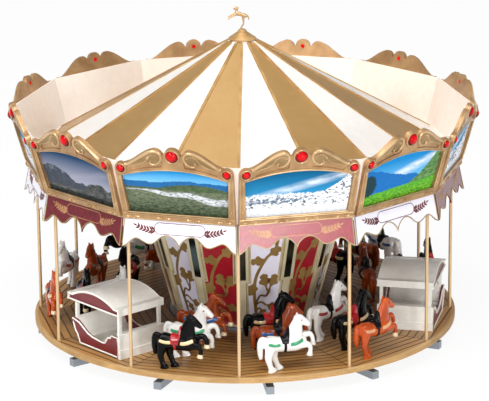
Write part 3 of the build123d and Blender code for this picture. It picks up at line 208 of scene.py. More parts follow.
# ---------------------------------------------------------------- shaping
def leaning(azimuth, apothem, z, lean):
    """A place on a leaning wall: x along it, y up its slope, z outwards. Angles in radians."""
    along = Vector((math.cos(azimuth), math.sin(azimuth), 0))
    tilt = math.cos(lean)
    out = Vector((math.sin(azimuth) * tilt, -math.cos(azimuth) * tilt, -math.sin(lean)))
    place = Matrix((along, out.cross(along), out)).transposed().to_4x4()
    place.translation = Vector((apothem * math.sin(azimuth), -apothem * math.cos(azimuth), z))
    return place


def standing(azimuth, radius, z):
    """A place on the deck: x the way the carousel turns, y towards the middle."""
    place = leaning(azimuth, radius, z, 0)
    return place @ Matrix.Rotation(math.radians(-90), 4, "X")


def crown_place(side, out=0.0):
    place = leaning((side + 0.5) * SIDE_TURN, CROWN_APOTHEM, CROWN_Z, CROWN_TILT)
    return place @ Matrix.Translation((0, 0, out))


def between(p, q, r, s, t):
    """The value at share t of the way from q to r on a smooth line through p, q, r and s."""
    bend = 2 * p - 5 * q + 4 * r - s
    twist = 3 * q - p - 3 * r + s
    return 0.5 * (2 * q + (r - p) * t + bend * t * t + twist * t**3)


def round_points(count, shift=0.0):
    """The cosine and sine at evenly spaced points round a circle."""
    turns = [FULL_TURN * (i + shift) / count for i in range(count)]
    return [(math.cos(turn), math.sin(turn)) for turn in turns]


def neighbours(line, i, closed=False):
    """The points before and after a point of a line; an open line's ends stand in for their own."""
    last = len(line) - 1
    before = line[i - 1] if closed or i else line[i]
    after = line[(i + 1) % len(line)] if closed or i < last else line[i]
    return before, after


def eased(points, steps):
    """A smooth line of steps points per span through the points, which are tuples of numbers."""
    ends = [points[0], *points, points[-1]]
    line = []
    for a, b, c, d in zip(ends, ends[1:], ends[2:], ends[3:]):
        for step in range(steps):
            line.append(tuple(between(*numbers, step / steps) for numbers in zip(a, b, c, d)))
    line.append(tuple(points[-1]))
    return line


class Mould:
    """Gathers the faces of one piece, in millimetres, and makes the piece."""

    def __init__(self):
        self.points = []
        self.faces = []
        self.coats = []

    def add(self, points, faces, place=None, coat=0):
        start = len(self.points)
        place = place or Matrix()
        self.points += [place @ Vector(p) for p in points]
        flip = place.determinant() < 0
        for face in faces:
            corners = [start + i for i in face]
            self.faces.append(corners[::-1] if flip else corners)
            self.coats.append(coat)

    def rings(self, rings, place=None, closed=False):
        """Skins a row of rings of points; open ends get a flat face."""
        count = len(rings[0])
        faces = []
        pairs = len(rings) if closed else len(rings) - 1
        for i in range(pairs):
            low = i * count
            high = (i + 1) % len(rings) * count
            for j in range(count):
                k = (j + 1) % count
                faces.append((low + j, low + k, high + k, high + j))
        if not closed:
            faces.append(tuple(range(count))[::-1])
            faces.append(tuple(range(len(rings) * count - count, len(rings) * count)))
        self.add([p for ring in rings for p in ring], faces, place)

    def rod(self, line, radius, place=None, sides=8, closed=False):
        """A round rod along a line. radius may be a list."""
        line = [Vector(p) for p in line]
        radii = radius if isinstance(radius, list) else [radius] * len(line)
        rings = []
        for i, point in enumerate(line):
            before, after = neighbours(line, i, closed)
            ahead = (after - before).normalized()
            across = ahead.cross(Vector((0, 0, 1)))
            across = across.normalized() if across.length > 1e-6 else Vector((1, 0, 0))
            rise = across.cross(ahead).normalized()
            rings.append([point + (across * c + rise * s) * radii[i] for c, s in round_points(sides, 0.5)])
        self.rings(rings, place, closed)

    def slab(self, outline, low, high, place=None):
        """A flat plate with that outline, from one height to another."""
        self.rings([[(x, y, z) for x, y in outline] for z in (low, high)], place)

    def ball(self, centre, radii, place=None, count=12):
        """An egg with a point at its foot and its head."""
        centre = Vector(centre)
        wide, deep, tall = radii
        rows = count // 2
        points = [centre - Vector((0, 0, tall))]
        for i in range(1, rows):
            polar = math.pi * i / rows
            out = math.sin(polar)
            for c, s in round_points(count):
                points.append(centre + Vector((wide * out * c, deep * out * s, -tall * math.cos(polar))))
        points.append(centre + Vector((0, 0, tall)))
        faces = [(0, 1 + (j + 1) % count, 1 + j) for j in range(count)]
        for i in range(rows - 2):
            for j in range(count):
                k = (j + 1) % count
                low = 1 + i * count
                faces.append((low + j, low + k, low + count + k, low + count + j))
        last = 1 + (rows - 2) * count
        faces += [(last + j, last + (j + 1) % count, len(points) - 1) for j in range(count)]
        self.add(points, faces, place)

    def mesh(self, name):
        made = bpy.data.meshes.new(name)
        made.from_pydata([tuple(p * MM) for p in map(Vector, self.points)], [], self.faces)
        made.update()
        return made

    def piece(self, name, body, paints, smooth=True, slot=None):
        made = self.mesh(name)
        for paint in paints:
            made.materials.append(paint)
        for face, coat in zip(made.polygons, self.coats):
            face.material_index = coat
            face.use_smooth = smooth
        piece = bpy.data.objects.new(name, made)
        bpy.context.scene.collection.objects.link(piece)
        if smooth:
            soften(piece)
        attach(piece, body)
        return piece


CREASE = math.radians(35)


def soften(piece):
    """Smooth faces with crisp edges where the surface turns by more than a crease."""
    mesh = piece.data
    work = bmesh.new()
    work.from_mesh(mesh)
    bmesh.ops.recalc_face_normals(work, faces=work.faces)
    for edge in work.edges:
        edge.smooth = len(edge.link_faces) == 2 and edge.calc_face_angle(0) < CREASE
    work.to_mesh(mesh)
    work.free()


def mirrored(hand):
    return Matrix.Diagonal((hand, 1, 1, 1))


# ---------------------------------------------------------------- finishes
def wall_parts(paint, sides):
    """Where the point is on a many-sided wall: along its side, outwards, height, and the side's number."""
    x, y, z = paint.parts(paint.place())
    step = FULL_TURN / sides
    turn = paint.node("ShaderNodeMath", {"operation": "ARCTAN2"}, {0: x, 1: y * -1})
    side = (turn / step).floor()
    middle = (side + 0.5) * step
    across = x * middle.cos() + y * middle.sin()
    outwards = x * middle.sin() - y * middle.cos()
    return across, outwards, z, side


def gilt_paint(name, light, dark, rough=0.36, metal=0.55):
    """Gold lacquer on plastic: a soft metal sheen, slightly cloudy, darker where it gathers."""
    paint = Paint(name)
    place = paint.place()
    cloud = paint.noise(place, 0.12, 2.0)
    grain = paint.noise(place, 2.4, 3.0)
    colour = paint.mix((cloud - 0.3) * 2.0, tint(dark), tint(light))
    colour = paint.mix((grain - 0.35) * 0.6, colour, tint(light))
    return paint.finish(
        Base_Color=colour,
        Metallic=metal,
        Roughness=rough + grain * 0.14,
        Normal=paint.bump(grain, 0.05),
        Coat_Weight=0.25,
        Coat_Roughness=0.2,
    )


def gloss_plastic(name, light, dark, rough=0.22, coat=0.6):
    """Moulded plastic with a glossy skin and a faint unevenness."""
    paint = Paint(name)
    place = paint.place()
    cloud = paint.noise(place, 0.25, 3.0)
    skin = paint.noise(place, 0.9, 2.0)
    return paint.finish(
        Base_Color=paint.mix((cloud - 0.3) * 1.8, tint(dark), tint(light)),
        Roughness=rough + skin * 0.1,
        Normal=paint.bump(skin, 0.12),
        Coat_Weight=coat,
        Coat_Roughness=0.08,
    )


def bare_metal(name, light, dark, rough=0.28, metal=1.0):
    """Drawn metal with a fine lengthwise scratch."""
    paint = Paint(name)
    place = paint.place()
    scratch = paint.noise(paint.stretched(place, (4, 4, 0.15)), 1.0)
    return paint.finish(
        Base_Color=paint.mix(scratch, tint(dark), tint(light)),
        Metallic=metal,
        Roughness=rough + scratch * 0.16,
        Normal=paint.bump(scratch, 0.02),
    )


def deck_wood(name, light, dark, grooves=False):
    """Varnished strips, each its own tone, with grain along the strip, darker in the grooves, and painted
    shade towards the middle of the deck.
    """
    paint = Paint(name)
    across, outwards, z, side = wall_parts(paint, SIDES)
    place_in_strip = (outwards - PLANK_START) / PLANK_W
    strip = place_in_strip.floor()
    grain = paint.noise(paint.vector(across * 0.045, outwards * 1.3, side * 7 + z * 0.4), 1.0, 4.0, 0.6)
    fleck = paint.noise(paint.vector(across * 0.25, outwards * 5.0, side * 3), 1.0, 2.0)
    tone = paint.noise(paint.vector(strip * 3.7, side * 5.3, 0), 1.0, 0.0)
    shade = (grain - 0.5) * 1.2 + (tone - 0.5) * 1.1 + (fleck - 0.5) * 0.35 + 0.5
    colour = paint.mix(paint.node("ShaderNodeClamp", None, {0: shade}), tint(dark), tint(light))
    if grooves:
        seam = 1 - (place_in_strip.fraction() - 0.5).size().above(0.4, 0.1) * 0.8
        mitre = (outwards * math.tan(SIDE_TURN / 2) - across.size()).above(0.35, 0.4) * 0.6 + 0.4
        # painted shade: the strips darken towards the middle, under the crown
        shadow = (outwards / PLANK_START - 0.8).least(1.0).most(0.45)
        colour = paint.mix(seam * mitre * shadow, tint("3A230F"), colour)
    return paint.finish(
        Base_Color=colour,
        Roughness=0.34 + grain * 0.2,
        Normal=paint.bump(grain * 0.7 + fleck * 0.3, 0.06),
        Coat_Weight=0.2,
        Coat_Roughness=0.25,
    )


def roof_gilt(name):
    """Gold roof cloth, faintly printed with courses of shingle."""
    paint = Paint(name)
    across, outwards, _, side = wall_parts(paint, FACETS)
    course = (ROOF_EAVES - outwards) / SHINGLE_H
    row = course.floor()
    odd = (row / 2).fraction() * 2
    brick = across / SHINGLE_W + odd * 0.5
    groove = (course.fraction() - 0.06).above(0, 0.12) * brick.fraction().above(0.05, 0.08)
    cell = paint.noise(paint.vector(brick.floor() * 3.1, row * 2.3, side), 1.0, 0.0)
    cloud = paint.noise(paint.place(), 0.05, 2.0)
    colour = paint.mix(cloud, tint("A8803E"), tint("BC9660"))
    colour = paint.mix((cell - 0.3) * 0.2, colour, tint("D2B48C"))
    colour = paint.mix(groove * 0.12 + 0.88, tint("94703A"), colour)
    return paint.finish(
        Base_Color=colour,
        Metallic=0.5,
        Roughness=0.42 + cell * 0.04,
        Normal=paint.bump(groove * 0.8 + cell * 0.2, 0.03),
        Coat_Weight=0.5,
        Coat_Roughness=0.3,
    )


def landscape(name):
    """Printed views, one to a side: a river plain, snowfields, a green valley, a range at dusk."""
    paint = Paint(name)
    across, _, z, side = wall_parts(paint, SIDES)
    up = (z - CROWN_Z) / math.cos(CROWN_TILT)
    kinds = [0.0, 0.25, 0.5, 0.75]
    stops = [(i / SIDES, (kinds[view],) * 3 + (1,)) for i, view in enumerate(VIEW_ORDER)]
    settings = {"ramp_steps": "CONSTANT", "stops": stops}
    kind = paint.node("ShaderNodeValToRGB", settings, {0: (side + 6.5) / SIDES})
    masks = [kind.near(k, 0.1, 0.05) for k in kinds]

    def number(*values):
        """The value of the side's own view, out of one for each of the four."""
        total = masks[0] * values[0]
        for mask, value in zip(masks[1:], values[1:]):
            total = total + mask * value
        return total

    def colour(*codes):
        """The colour of the side's own view, out of one for each of the four."""
        mixed = tint(codes[0])
        for mask, code in zip(masks[1:], codes[1:]):
            mixed = paint.mix(mask, mixed, tint(code))
        return mixed

    def share(value):
        return paint.node("ShaderNodeClamp", None, {0: value})

    def grain(stretch, detail, rough):
        return paint.noise(paint.stretched(flat, (*stretch, 1)), 1.0, detail, rough)

    def hump(middle, reach, height):
        """A rounded hill of that half-width and height."""
        off = (across - middle) / reach
        return (1 - off * off).most(0) * height

    seed = side * 13.7
    flat = paint.vector(across, up, seed)
    broad = paint.noise(paint.vector(across * 0.06, seed, 0), 1.0, 2.0, 0.5) - 0.5
    jag = paint.noise(paint.vector(across * 0.24, seed + 5, 0), 1.0, 6.0, 0.66) - 0.5
    rock = grain((0.5, 0.8), 6.0, 0.72)
    turf = grain((0.6, 1.5), 5.0, 0.7)
    wisp = grain((0.09, 0.3), 4.0, 0.55)

    # sky, deep overhead and pale low down, with a wisp of cloud
    height = share((up - number(16, 11, 9, 10)) / number(9, 13, 14, 14))
    haze = colour("8FCDEE", "2F93C4", "7CCBF0", "A3A4B4")
    sky = paint.mix(height, haze, colour("128ACB", "05628F", "0A88CC", "123E63"))
    streak = (up - across * 0.24).near(number(31, 17.5, 16, 14), number(0.3, 1.3, 1.8, 1.0), 3.0)
    streak = share(streak * (wisp - 0.2) * 2.2)
    view = paint.mix(streak, sky, colour("F1F6FA", "EAF3FA", "F4FAFD", "9C9CAC"))

    # the far range
    far_line = number(19.8, 14.2, 15.2 - across * 0.25, 11.0 + hump(-17, 14, 6.5))
    far_line = far_line + broad * number(5, 3, 6, 4) + jag * number(2.5, 7, 3, 6)
    far = (far_line - up).above(0, 0.4)
    snow = (rock + (up - 12) * 0.03).above(number(0.95, 0.5, 0.9, 0.68), 0.08)
    crag = colour("0E4C86", "2E4258", "0A62AE", "11161E")
    slope = paint.mix(rock, crag, colour("2E74AC", "8796A8", "1F7CC4", "59616E"))
    slope = paint.mix(snow, slope, colour("C9D6E2", "F4F7FB", "EDF3F8", "8C93A0"))
    view = paint.mix(far, view, slope)

    # the nearer slopes
    rise = across + number(30, 5, 2, 30)
    near_line = number(16.4 + hump(8, 16, 2.4), 9.6, 7.6, 7.4 + hump(13, 10, 5.5))
    near_line = near_line + jag * number(1.0, 3.5, 1.6, 3.5)
    near_line = near_line + rise.most(0) * rise.most(0) * number(0, 0.0157, 0.026, 0)
    near = (near_line - up).above(0, 0.4)
    hollow = colour("2F4532", "3A4654", "1D5A2A", "15191C")
    bank = paint.mix(rock.above(0.5, 0.3), hollow, colour("5B6B47", "9AA6B4", "7FA768", "6D6E6C"))
    white = rock.above(number(0.95, 0.47, 0.95, 0.72), 0.07)
    bank = paint.mix(white, bank, colour("E8EEF4", "F7FAFD", "E8EEF4", "A5A4A2"))
    view = paint.mix(near, view, bank)

    # the ground in front
    ground_line = number(15.4, 7.2, 9.0 + across * 0.03, 5.6) + jag * number(0.8, 2.5, 1.6, 2.5)
    ground = (ground_line - up).above(0, 0.5)
    low = share((up - PICTURE_FOOT) / number(9, 4, 6, 4))
    shade = turf.above(0.5, 0.22)
    land = colour("18281E", "C4D0DE", "1F7A14", "0E1112")
    land = paint.mix(shade, land, colour("4E5B40", "F4F7FB", "8FD03E", "3A3E3C"))
    far_land = colour("485644", "D6E0EC", "3E9A28", "1A1E1E")
    far_land = paint.mix(shade, far_land, colour("767C62", "F6F9FC", "74BE3A", "4A4E4A"))
    land = paint.mix(low, land, far_land)
    bend = 13.2 - across * 0.13 + (across * 0.3).sin() * 0.6 + (wisp - 0.5) * 2
    river = (up - bend).near(0, 0.7 + (across + 25).most(0) * 0.022, 0.8) * ground
    river = river * share((turf - 0.34) * 5) * number(1, 0, 0, 0)
    land = paint.mix(river, land, tint("CDD0D6"))
    view = paint.mix(ground, view, land)
    # a dark tree at the valley's edge
    crown = (across + 21) / 5
    trunk = (up - 13) / 5.5
    leafy = (1.05 + (rock - 0.5) * 1.4 - crown * crown - trunk * trunk).above(0, 0.3) * number(0, 0, 1, 0)
    view = paint.mix(leafy, view, tint("1C3C44"))
    return paint.finish(Base_Color=view, Roughness=0.5, Specular_IOR_Level=0.12)


def woven_burgundy(name):
    """Burgundy print on the hanging cloths: fine uprights of a paler red."""
    paint = Paint(name)
    across, _, z, side = wall_parts(paint, SIDES)
    thread = paint.noise(paint.vector(across * 2.4, z * 0.35, side), 1.0, 4.0, 0.7)
    patch = paint.noise(paint.vector(across * 0.25, z * 0.3, side * 4), 1.0, 2.0)
    colour = paint.mix((thread - 0.4) * 2.4, tint("5A0A12"), tint("A83040"))
    colour = paint.mix((patch - 0.45) * 0.8, colour, tint("7A1420"))
    return paint.finish(
        Base_Color=colour,
        Metallic=0.5,
        Roughness=0.2 + thread * 0.3,
        Specular_IOR_Level=0.3,
        Normal=paint.bump(thread, 0.05),
        Coat_Weight=0.55,
        Coat_Roughness=0.18,
    )


def horse_coat(name, light, dark, rough=0.16, shine=0.9):
    """Enamelled horse: thick, glossy and a touch uneven."""
    paint = Paint(name)
    place = paint.place()
    cloud = paint.noise(place, 0.16, 2.0)
    dimple = paint.noise(place, 0.7, 3.0)
    return paint.finish(
        Base_Color=paint.mix((cloud - 0.3) * 1.9, tint(dark), tint(light)),
        Roughness=rough + dimple * 0.08,
        Normal=paint.bump(dimple, 0.35),
        Specular_IOR_Level=0.5 * shine,
        Coat_Weight=shine,
        Coat_Roughness=0.04,
    )


def jewel_red(name):
    """Deep red cabochon over foil, with painted light: bright in the middle and a little low, and painted
    shade towards its rim.
    """
    paint = Paint(name)
    across, _, z, _ = wall_parts(paint, SIDES)
    up = (z - CROWN_Z) / math.cos(CROWN_TILT)
    rims = []
    for x, y, reach in STONE_PLACES[:2]:
        aside = (across.size() + x - 0.1) / (reach - 0.3)
        above = (up - y + 0.3) / (reach - 0.3)
        rims.append(aside * aside + above * above)
    # painted light: a glow where light would pass through the stone, and painted shade darkening it towards
    # the rim
    glow = (1 - rims[0].least(rims[1])).most(0)
    depth = paint.noise(paint.place(), 0.8, 1.0)
    return paint.finish(
        Base_Color=paint.mix(glow * (0.8 + depth * 0.6), tint("380004"), tint("D2040C")),
        Roughness=0.08 + depth * 0.03,
        Specular_IOR_Level=0.25,
    )


def drum_print(name, light, dark):
    """Lacquered panel of the drum."""
    paint = Paint(name)
    place = paint.place()
    cloud = paint.noise(place, 0.08, 3.0)
    speck = paint.noise(place, 1.6, 2.0)
    return paint.finish(
        Base_Color=paint.mix((cloud - 0.3) * 1.6, tint(dark), tint(light)),
        Roughness=0.24 + speck * 0.1,
        Normal=paint.bump(speck, 0.04),
        Coat_Weight=0.3,
        Coat_Roughness=0.12,
    )


GILT = gilt_paint("frame_gilt", "C8A070", "967048", rough=0.32, metal=0.5)
# a darker gilt for the sheet on the crest's leaf: painted shade in its hollow
CREST_SHADE_GILT = gilt_paint("crest_leaf_shade_gilt", "AE8E5E", "7E6238", rough=0.4, metal=0.45)
MOULDING = gilt_paint("moulding_gilt", "DEBE92", "AC8656", rough=0.26, metal=0.5)
RIB_GILT = gilt_paint("roof_rib_gilt", "D8B078", "A67E48", rough=0.34, metal=0.45)
ROOF_GILT = roof_gilt("roof_shingle_gilt")
IVORY = gloss_plastic("crown_ivory", "F1E6DA", "EBDDD0", rough=0.4, coat=0.1)
ROOF_IVORY = gloss_plastic("roof_ivory", "E6E2DD", "DFDAD4", rough=0.36, coat=0.2)
CLOTH_WHITE = gloss_plastic("valance_white", "EFEEF8", "E8E6F2", rough=0.34, coat=0.2)
CLOTH_RED = woven_burgundy("valance_burgundy")
EDGE_GILT = gilt_paint("edging_gilt", "B39C6C", "8C7648", rough=0.4, metal=0.25)
PRINT = landscape("landscape_prints")
JEWEL = jewel_red("jewel_red")
POST = bare_metal("post_brass", "E8CBA2", "CDAA7C", rough=0.26, metal=0.6)
BAR = bare_metal("bar_grey", "A6ACB2", "858B92", rough=0.34, metal=0.7)
STEEL = bare_metal("polished_steel", "D5D5D8", "A9AAB0", rough=0.2)
BRASS = bare_metal("movement_brass", "DDB765", "B98E42", rough=0.24)
WOOD = deck_wood("deck_strips", "C08E4E", "8E6430", grooves=True)
BOARD = deck_wood("deck_board", "A87E48", "6E5230")
RIM = deck_wood("deck_rim", "D2AC74", "A98350")
DRUM_WHITE = drum_print("drum_lavender", "F8F6FF", "ECE9FC")
DRUM_RED = drum_print("drum_crimson", "B81A2E", "96101F")
DRUM_IVORY = gloss_plastic("drum_ivory", "DCD2C0", "C8BBA4", rough=0.35, coat=0.3)
DRUM_BORDER = gilt_paint("drum_border_cream", "E8DDB8", "BFAE7E", rough=0.34, metal=0.3)
PILASTER = gilt_paint("pilaster_cream", "F0E8CC", "D4C69C", rough=0.3, metal=0.25)
MIRROR = bare_metal("mirror_slate", "6F848C", "56686F", rough=0.05)
COAT_WHITE = horse_coat("coat_white", "EDEBE7", "E0DDD7")
COAT_BLACK = horse_coat("coat_black", "060505", "020202", rough=0.06, shine=0.16)
COAT_BAY = horse_coat("coat_bay", "A8440C", "6C2606", rough=0.1, shine=0.45)
COAT_SORREL = horse_coat("coat_sorrel", "CC5616", "A03A0A", rough=0.1, shine=0.45)
TACK_BLACK = horse_coat("tack_black", "0C0C0E", "040405", rough=0.14, shine=0.25)
TACK_RED = horse_coat("tack_red", "C4141A", "8E0A10", rough=0.2, shine=0.6)
HOOF_CREAM = horse_coat("hoof_cream", "EAD9B6", "D2BC92", rough=0.25)
HOOF_GREY = horse_coat("hoof_grey", "D9D5CC", "BDB8AD", rough=0.25)
STRAP_PAINTS = {
    "green": horse_coat("strap_green", "1FA36B", "128050", rough=0.28),
    "cream": horse_coat("strap_cream", "EBD3A8", "CFAE78", rough=0.28),
    "tan": horse_coat("strap_tan", "E3A876", "C08552", rough=0.28),
    "blue": horse_coat("strap_blue", "2C6CB4", "1C4A86", rough=0.28),
    "red": horse_coat("strap_red", "C8242C", "96141C", rough=0.28),
}
SPRIG_BROWN = gloss_plastic("sprig_brown", "742A1A", "561C10", rough=0.45, coat=0.05)
SPRIG_GOLD = gilt_paint("sprig_gold", "C8966A", "9C6C46", rough=0.4, metal=0.3)
LEAF_BROWN = gilt_paint("leaf_brown", "A88850", "866630", rough=0.38, metal=0.3)
LEAF_GOLD = gilt_paint("leaf_gold", "BC9C5E", "96783E", rough=0.36, metal=0.35)
CAR_WHITE = gloss_plastic("carriage_white", "F4F2EA", "E6E3DA", rough=0.3, coat=0.4)
CAR_RED = gloss_plastic("carriage_burgundy", "801E26", "64141A", rough=0.32, coat=0.15)

NODE_PAINTS = {
    "stand_hub": BAR,
    "stand_bars": BAR,
    "stand_screws": STEEL,
    "deck_board": BOARD,
    "deck_rim": RIM,
    "deck_planks": WOOD,
    "posts": POST,
    "crown_wall": IVORY,
    "crown_ring": IVORY,
    "crown_frames": GILT,
    "jewels_top": JEWEL,
    "jewels_corner": JEWEL,
    "pictures": PRINT,
    "valances_red": CLOTH_RED,
    "valances_white": CLOTH_WHITE,
    "valance_edging": EDGE_GILT,
    "roof_ivory": ROOF_IVORY,
    "roof_gilt": ROOF_GILT,
    "roof_ribs": RIB_GILT,
    "roof_cap": RIB_GILT,
    "roof_boss": BRASS,
    "roof_finial": MOULDING,
    "drum_shell": DRUM_IVORY,
    "drum_lid": DRUM_IVORY,
    "drum_panels_white": DRUM_WHITE,
    "drum_panels_red": DRUM_RED,
    "drum_borders": DRUM_BORDER,
    "drum_pilasters": PILASTER,
    "drum_mirrors": MIRROR,
    "horses_white": COAT_WHITE,
    "horses_black": COAT_BLACK,
    "horses_bay": COAT_BAY,
    "horses_sorrel": COAT_SORREL,
    "saddles_black": TACK_BLACK,
    "saddles_red": TACK_RED,
    "carriage_floors": CAR_WHITE,
    "carriage_fronts": CAR_WHITE,
    "carriage_seats": CAR_WHITE,
    "carriage_sides": CAR_RED,
    "carriage_posts": CAR_WHITE,
    "carriage_roofs": CAR_WHITE,
    "carriage_gables": CAR_RED,
    "movement_bedplate": BRASS,
    "movement_screws": STEEL,
    "spring_barrel": BRASS,
    "spindle": STEEL,
    "pin_cylinder": BRASS,
    "governor_fly": BRASS,
    "barrel_bridge": BRASS,
    "train_bracket": BRASS,
    "comb": STEEL,
    "comb_stand": BRASS,
    "comb_screws": STEEL,
    "winding_key": BRASS,
}
for name, paint in NODE_PAINTS.items():
    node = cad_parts[name]
    node.data.materials.clear()
    node.data.materials.append(paint)


# ---------------------------------------------------------------- the crown's mouldings and settings
# the crest's rolled edge, which turns in beside the top stone and ends in a small curl
SCROLL = (
    (22.4, 28.5),
    (21.0, 28.9),
    (17.0, 31.5),
    (13.2, 34.1),
    (10.4, 35.6),
    (7.9, 36.0),
    (6.0, 35.1),
    (5.3, 33.0),
    (6.1, 30.9),
    (8.0, 29.4),
    (9.9, 29.3),
    (10.7, 30.3),
    (10.0, 31.1),
)
# lower edge of the leaf that lies along the crest
LEAF_EDGE = ((9.6, 34.3), (11.6, 33.0), (12.6, 31.0), (15.2, 29.4), (18.6, 28.3), (21.4, 27.4))
CURL = (8.9, 31.6)  # middle of the crest's curl
OPENING_HALF = (23.2, 24.9)  # at the foot and at the head
OPENING_SIDE_H = 22.1
OPENING_MID_H = 26.3
RAIL_Y = (0.32, 2.75)  # the two rails under the picture
RAIL_HALF = 26.2
BEAD_ROW = 1.2
BEAD_X = (-21.5, -7.0, 7.0, 21.5)  # a pair of beads at each
UPRIGHTS = ((24.15, 25.7), (26.2, 27.15))  # x at the foot and at the head
UPRIGHT_Y = (4.6, 23.0)


def arch(half, side_h, middle_h, steps=20):
    """Points along the low arch over a picture, from left to right."""
    rise = middle_h - side_h
    ball = (half * half + rise * rise) / (2 * rise)
    turn = math.asin(half / ball)
    angles = [turn * (2 * i / steps - 1) for i in range(steps + 1)]
    return [(ball * math.sin(a), middle_h - ball + ball * math.cos(a)) for a in angles]


def make_mouldings():
    """Rolled edges, leaf ribs, rails and bead pairs on the twelve gilt frames, and a darker gilt sheet on
    each leaf as painted shade.
    """
    mould = Mould()
    leaves = Mould()
    foot, head = OPENING_HALF
    top = [(x, y + 0.45, 0) for x, y in arch(head + 0.4, OPENING_SIDE_H, OPENING_MID_H)]
    loop = [(-foot - 0.45, 3.6, 0), *top, (foot + 0.45, 3.6, 0)]
    for side in range(SIDES):
        front = crown_place(side, FRAME_FACE)
        for hand in (-1, 1):
            place = front @ mirrored(hand)
            line = eased([(x, y, 0.1) for x, y in SCROLL], 4)
            taper = [0.8 - 0.5 * max(0, i / len(line) - 0.35) / 0.65 for i in range(len(line))]
            mould.rod(line, taper, place)
            edge = eased([(x, y, -0.1) for x, y in LEAF_EDGE], 4)
            mould.rod(edge, 0.3, place, sides=6)
            # ribs that fan out from the curl, then lie along the leaf
            x, y = CURL
            for i in range(9):
                turn = math.radians(10 + 17 * i)
                c, s = math.cos(turn), math.sin(turn)
                rib = [(x + 1.5 * c, y + 1.3 * s, -0.2), (x + 3.2 * c, y + 3.0 * s, 0.05)]
                mould.rod(rib, [0.14, 0.3], place, sides=6)
            for i in range(7):
                x, y = edge[5 + 2 * i][:2]
                reach = 1.3 - 0.12 * i
                crown = (x + 0.9 * reach, y + 0.75 * reach, -0.15)
                rib = [(x, y, -0.4), crown, (x + 1.9 * reach, y + reach, -0.4)]
                mould.rod(eased(rib, 2), [0.1, 0.24, 0.28, 0.22, 0.1], place, sides=6)
            # a darker gilt sheet over the leaf, as painted shade in its hollow
            leaves.slab([*SCROLL[:-3], *LEAF_EDGE[2:]], 0, 0.12, place)
            for xs in UPRIGHTS:
                mould.rod([(x, y, -0.05) for x, y in zip(xs, UPRIGHT_Y)], 0.24, place, sides=6)
            for y in (6.5, 21.5):
                mould.ball((25.4 + (y - 14) * 0.04, y, -0.1), (0.45, 0.9, 0.4), place)
        mould.rod(loop, 0.34, front, sides=6, closed=True)
        for y in RAIL_Y:
            mould.rod([(x, y, -0.05) for x in (-RAIL_HALF, RAIL_HALF)], 0.26, front, sides=6)
        for x in BEAD_X:
            for bead in ((-2.9, -2.3, -2.0), (2.0, 2.3, 2.9)):
                mould.rod([(x + dx, BEAD_ROW, z) for dx, z in zip(bead, (-0.1, 0.1, -0.1))], 0.5, front)
    mould.piece("crown_mouldings", "carousel", [MOULDING], slot="gilt_plastic")
    leaves.piece("crest_leaf_shade", "carousel", [CREST_SHADE_GILT], slot="gilt_plastic", smooth=False)


def make_settings():
    """A gilt collar round each red stone."""
    mould = Mould()
    for side in range(SIDES):
        front = crown_place(side, PLATE_FACE)
        for x, y, reach in STONE_PLACES:
            ring = [(x + reach * c, y + reach * s, 0.15) for c, s in round_points(28)]
            mould.rod(ring, 0.3, front, sides=6, closed=True)
    mould.piece("jewel_settings", "carousel", [MOULDING], slot="gilt_plastic")


# ---------------------------------------------------------------- the printed sprigs
def leaf_outline(length, width, lobes=False):
    """A leaf along +x from the origin."""
    if lobes:
        half = [(0, 0.06), (0.18, 0.12), (0.3, 0.28), (0.38, 0.46), (0.52, 0.5), (0.62, 0.38), (0.66, 0.27)]
        half += [(0.8, 0.34), (0.9, 0.27), (0.95, 0.12), (1.0, 0.0)]
    else:
        half = [(0, 0.05), (0.2, 0.34), (0.45, 0.5), (0.75, 0.3), (1.0, 0.0)]
    half = eased(half, 3)
    upper = [(x * length, y * width) for x, y in half]
    return upper + [(x, -y) for x, y in upper[-2::-1]]


def turned(outline, x, y, angle):
    c, s = math.cos(angle), math.sin(angle)
    return [(x + c * px - s * py, y + s * px + c * py) for px, py in outline]


def valance_place(side):
    hem_z = CROWN_Z - FRAME_FACE * math.sin(CROWN_TILT) - 0.1
    return leaning((side + 0.5) * SIDE_TURN, CROWN_APOTHEM + 0.3, hem_z, -VALANCE_FLARE)


def stroke(mould, line, width, low, high, place, closed=False):
    """A flat line of that width."""
    line = [Vector((x, y, 0)) for x, y in line]
    foot, head = Vector((0, 0, low)), Vector((0, 0, high))
    rings = []
    for i, point in enumerate(line):
        before, after = neighbours(line, i, closed)
        ahead = (after - before).normalized()
        side = Vector((-ahead.y, ahead.x, 0)) * width / 2
        rings.append([point - side + foot, point + side + foot, point + side + head, point - side + head])
    mould.rings(rings, place, closed)


CARTOUCHE_HALF = (11.9, 2.55)
CARTOUCHE_ROUND = 2.3
CARTOUCHE_Y = -3.9


def cartouche():
    """The outline of a long label with round corners."""
    reach, rise = CARTOUCHE_HALF
    loop = []
    for quarter, (sx, sy) in enumerate(((1, 1), (-1, 1), (-1, -1), (1, -1))):
        for i in range(8):
            turn = math.pi / 2 * (quarter + i / 7)
            x = sx * (reach - CARTOUCHE_ROUND) + CARTOUCHE_ROUND * math.cos(turn)
            y = sy * (rise - CARTOUCHE_ROUND) + CARTOUCHE_ROUND * math.sin(turn)
            loop.append((x, CARTOUCHE_Y + y))
    return loop


SPRIG_STEM = ((11.6, -5.1), (14.4, -5.0), (17.4, -4.4), (20.2, -3.3))
SPRIG_PAIRS = 6


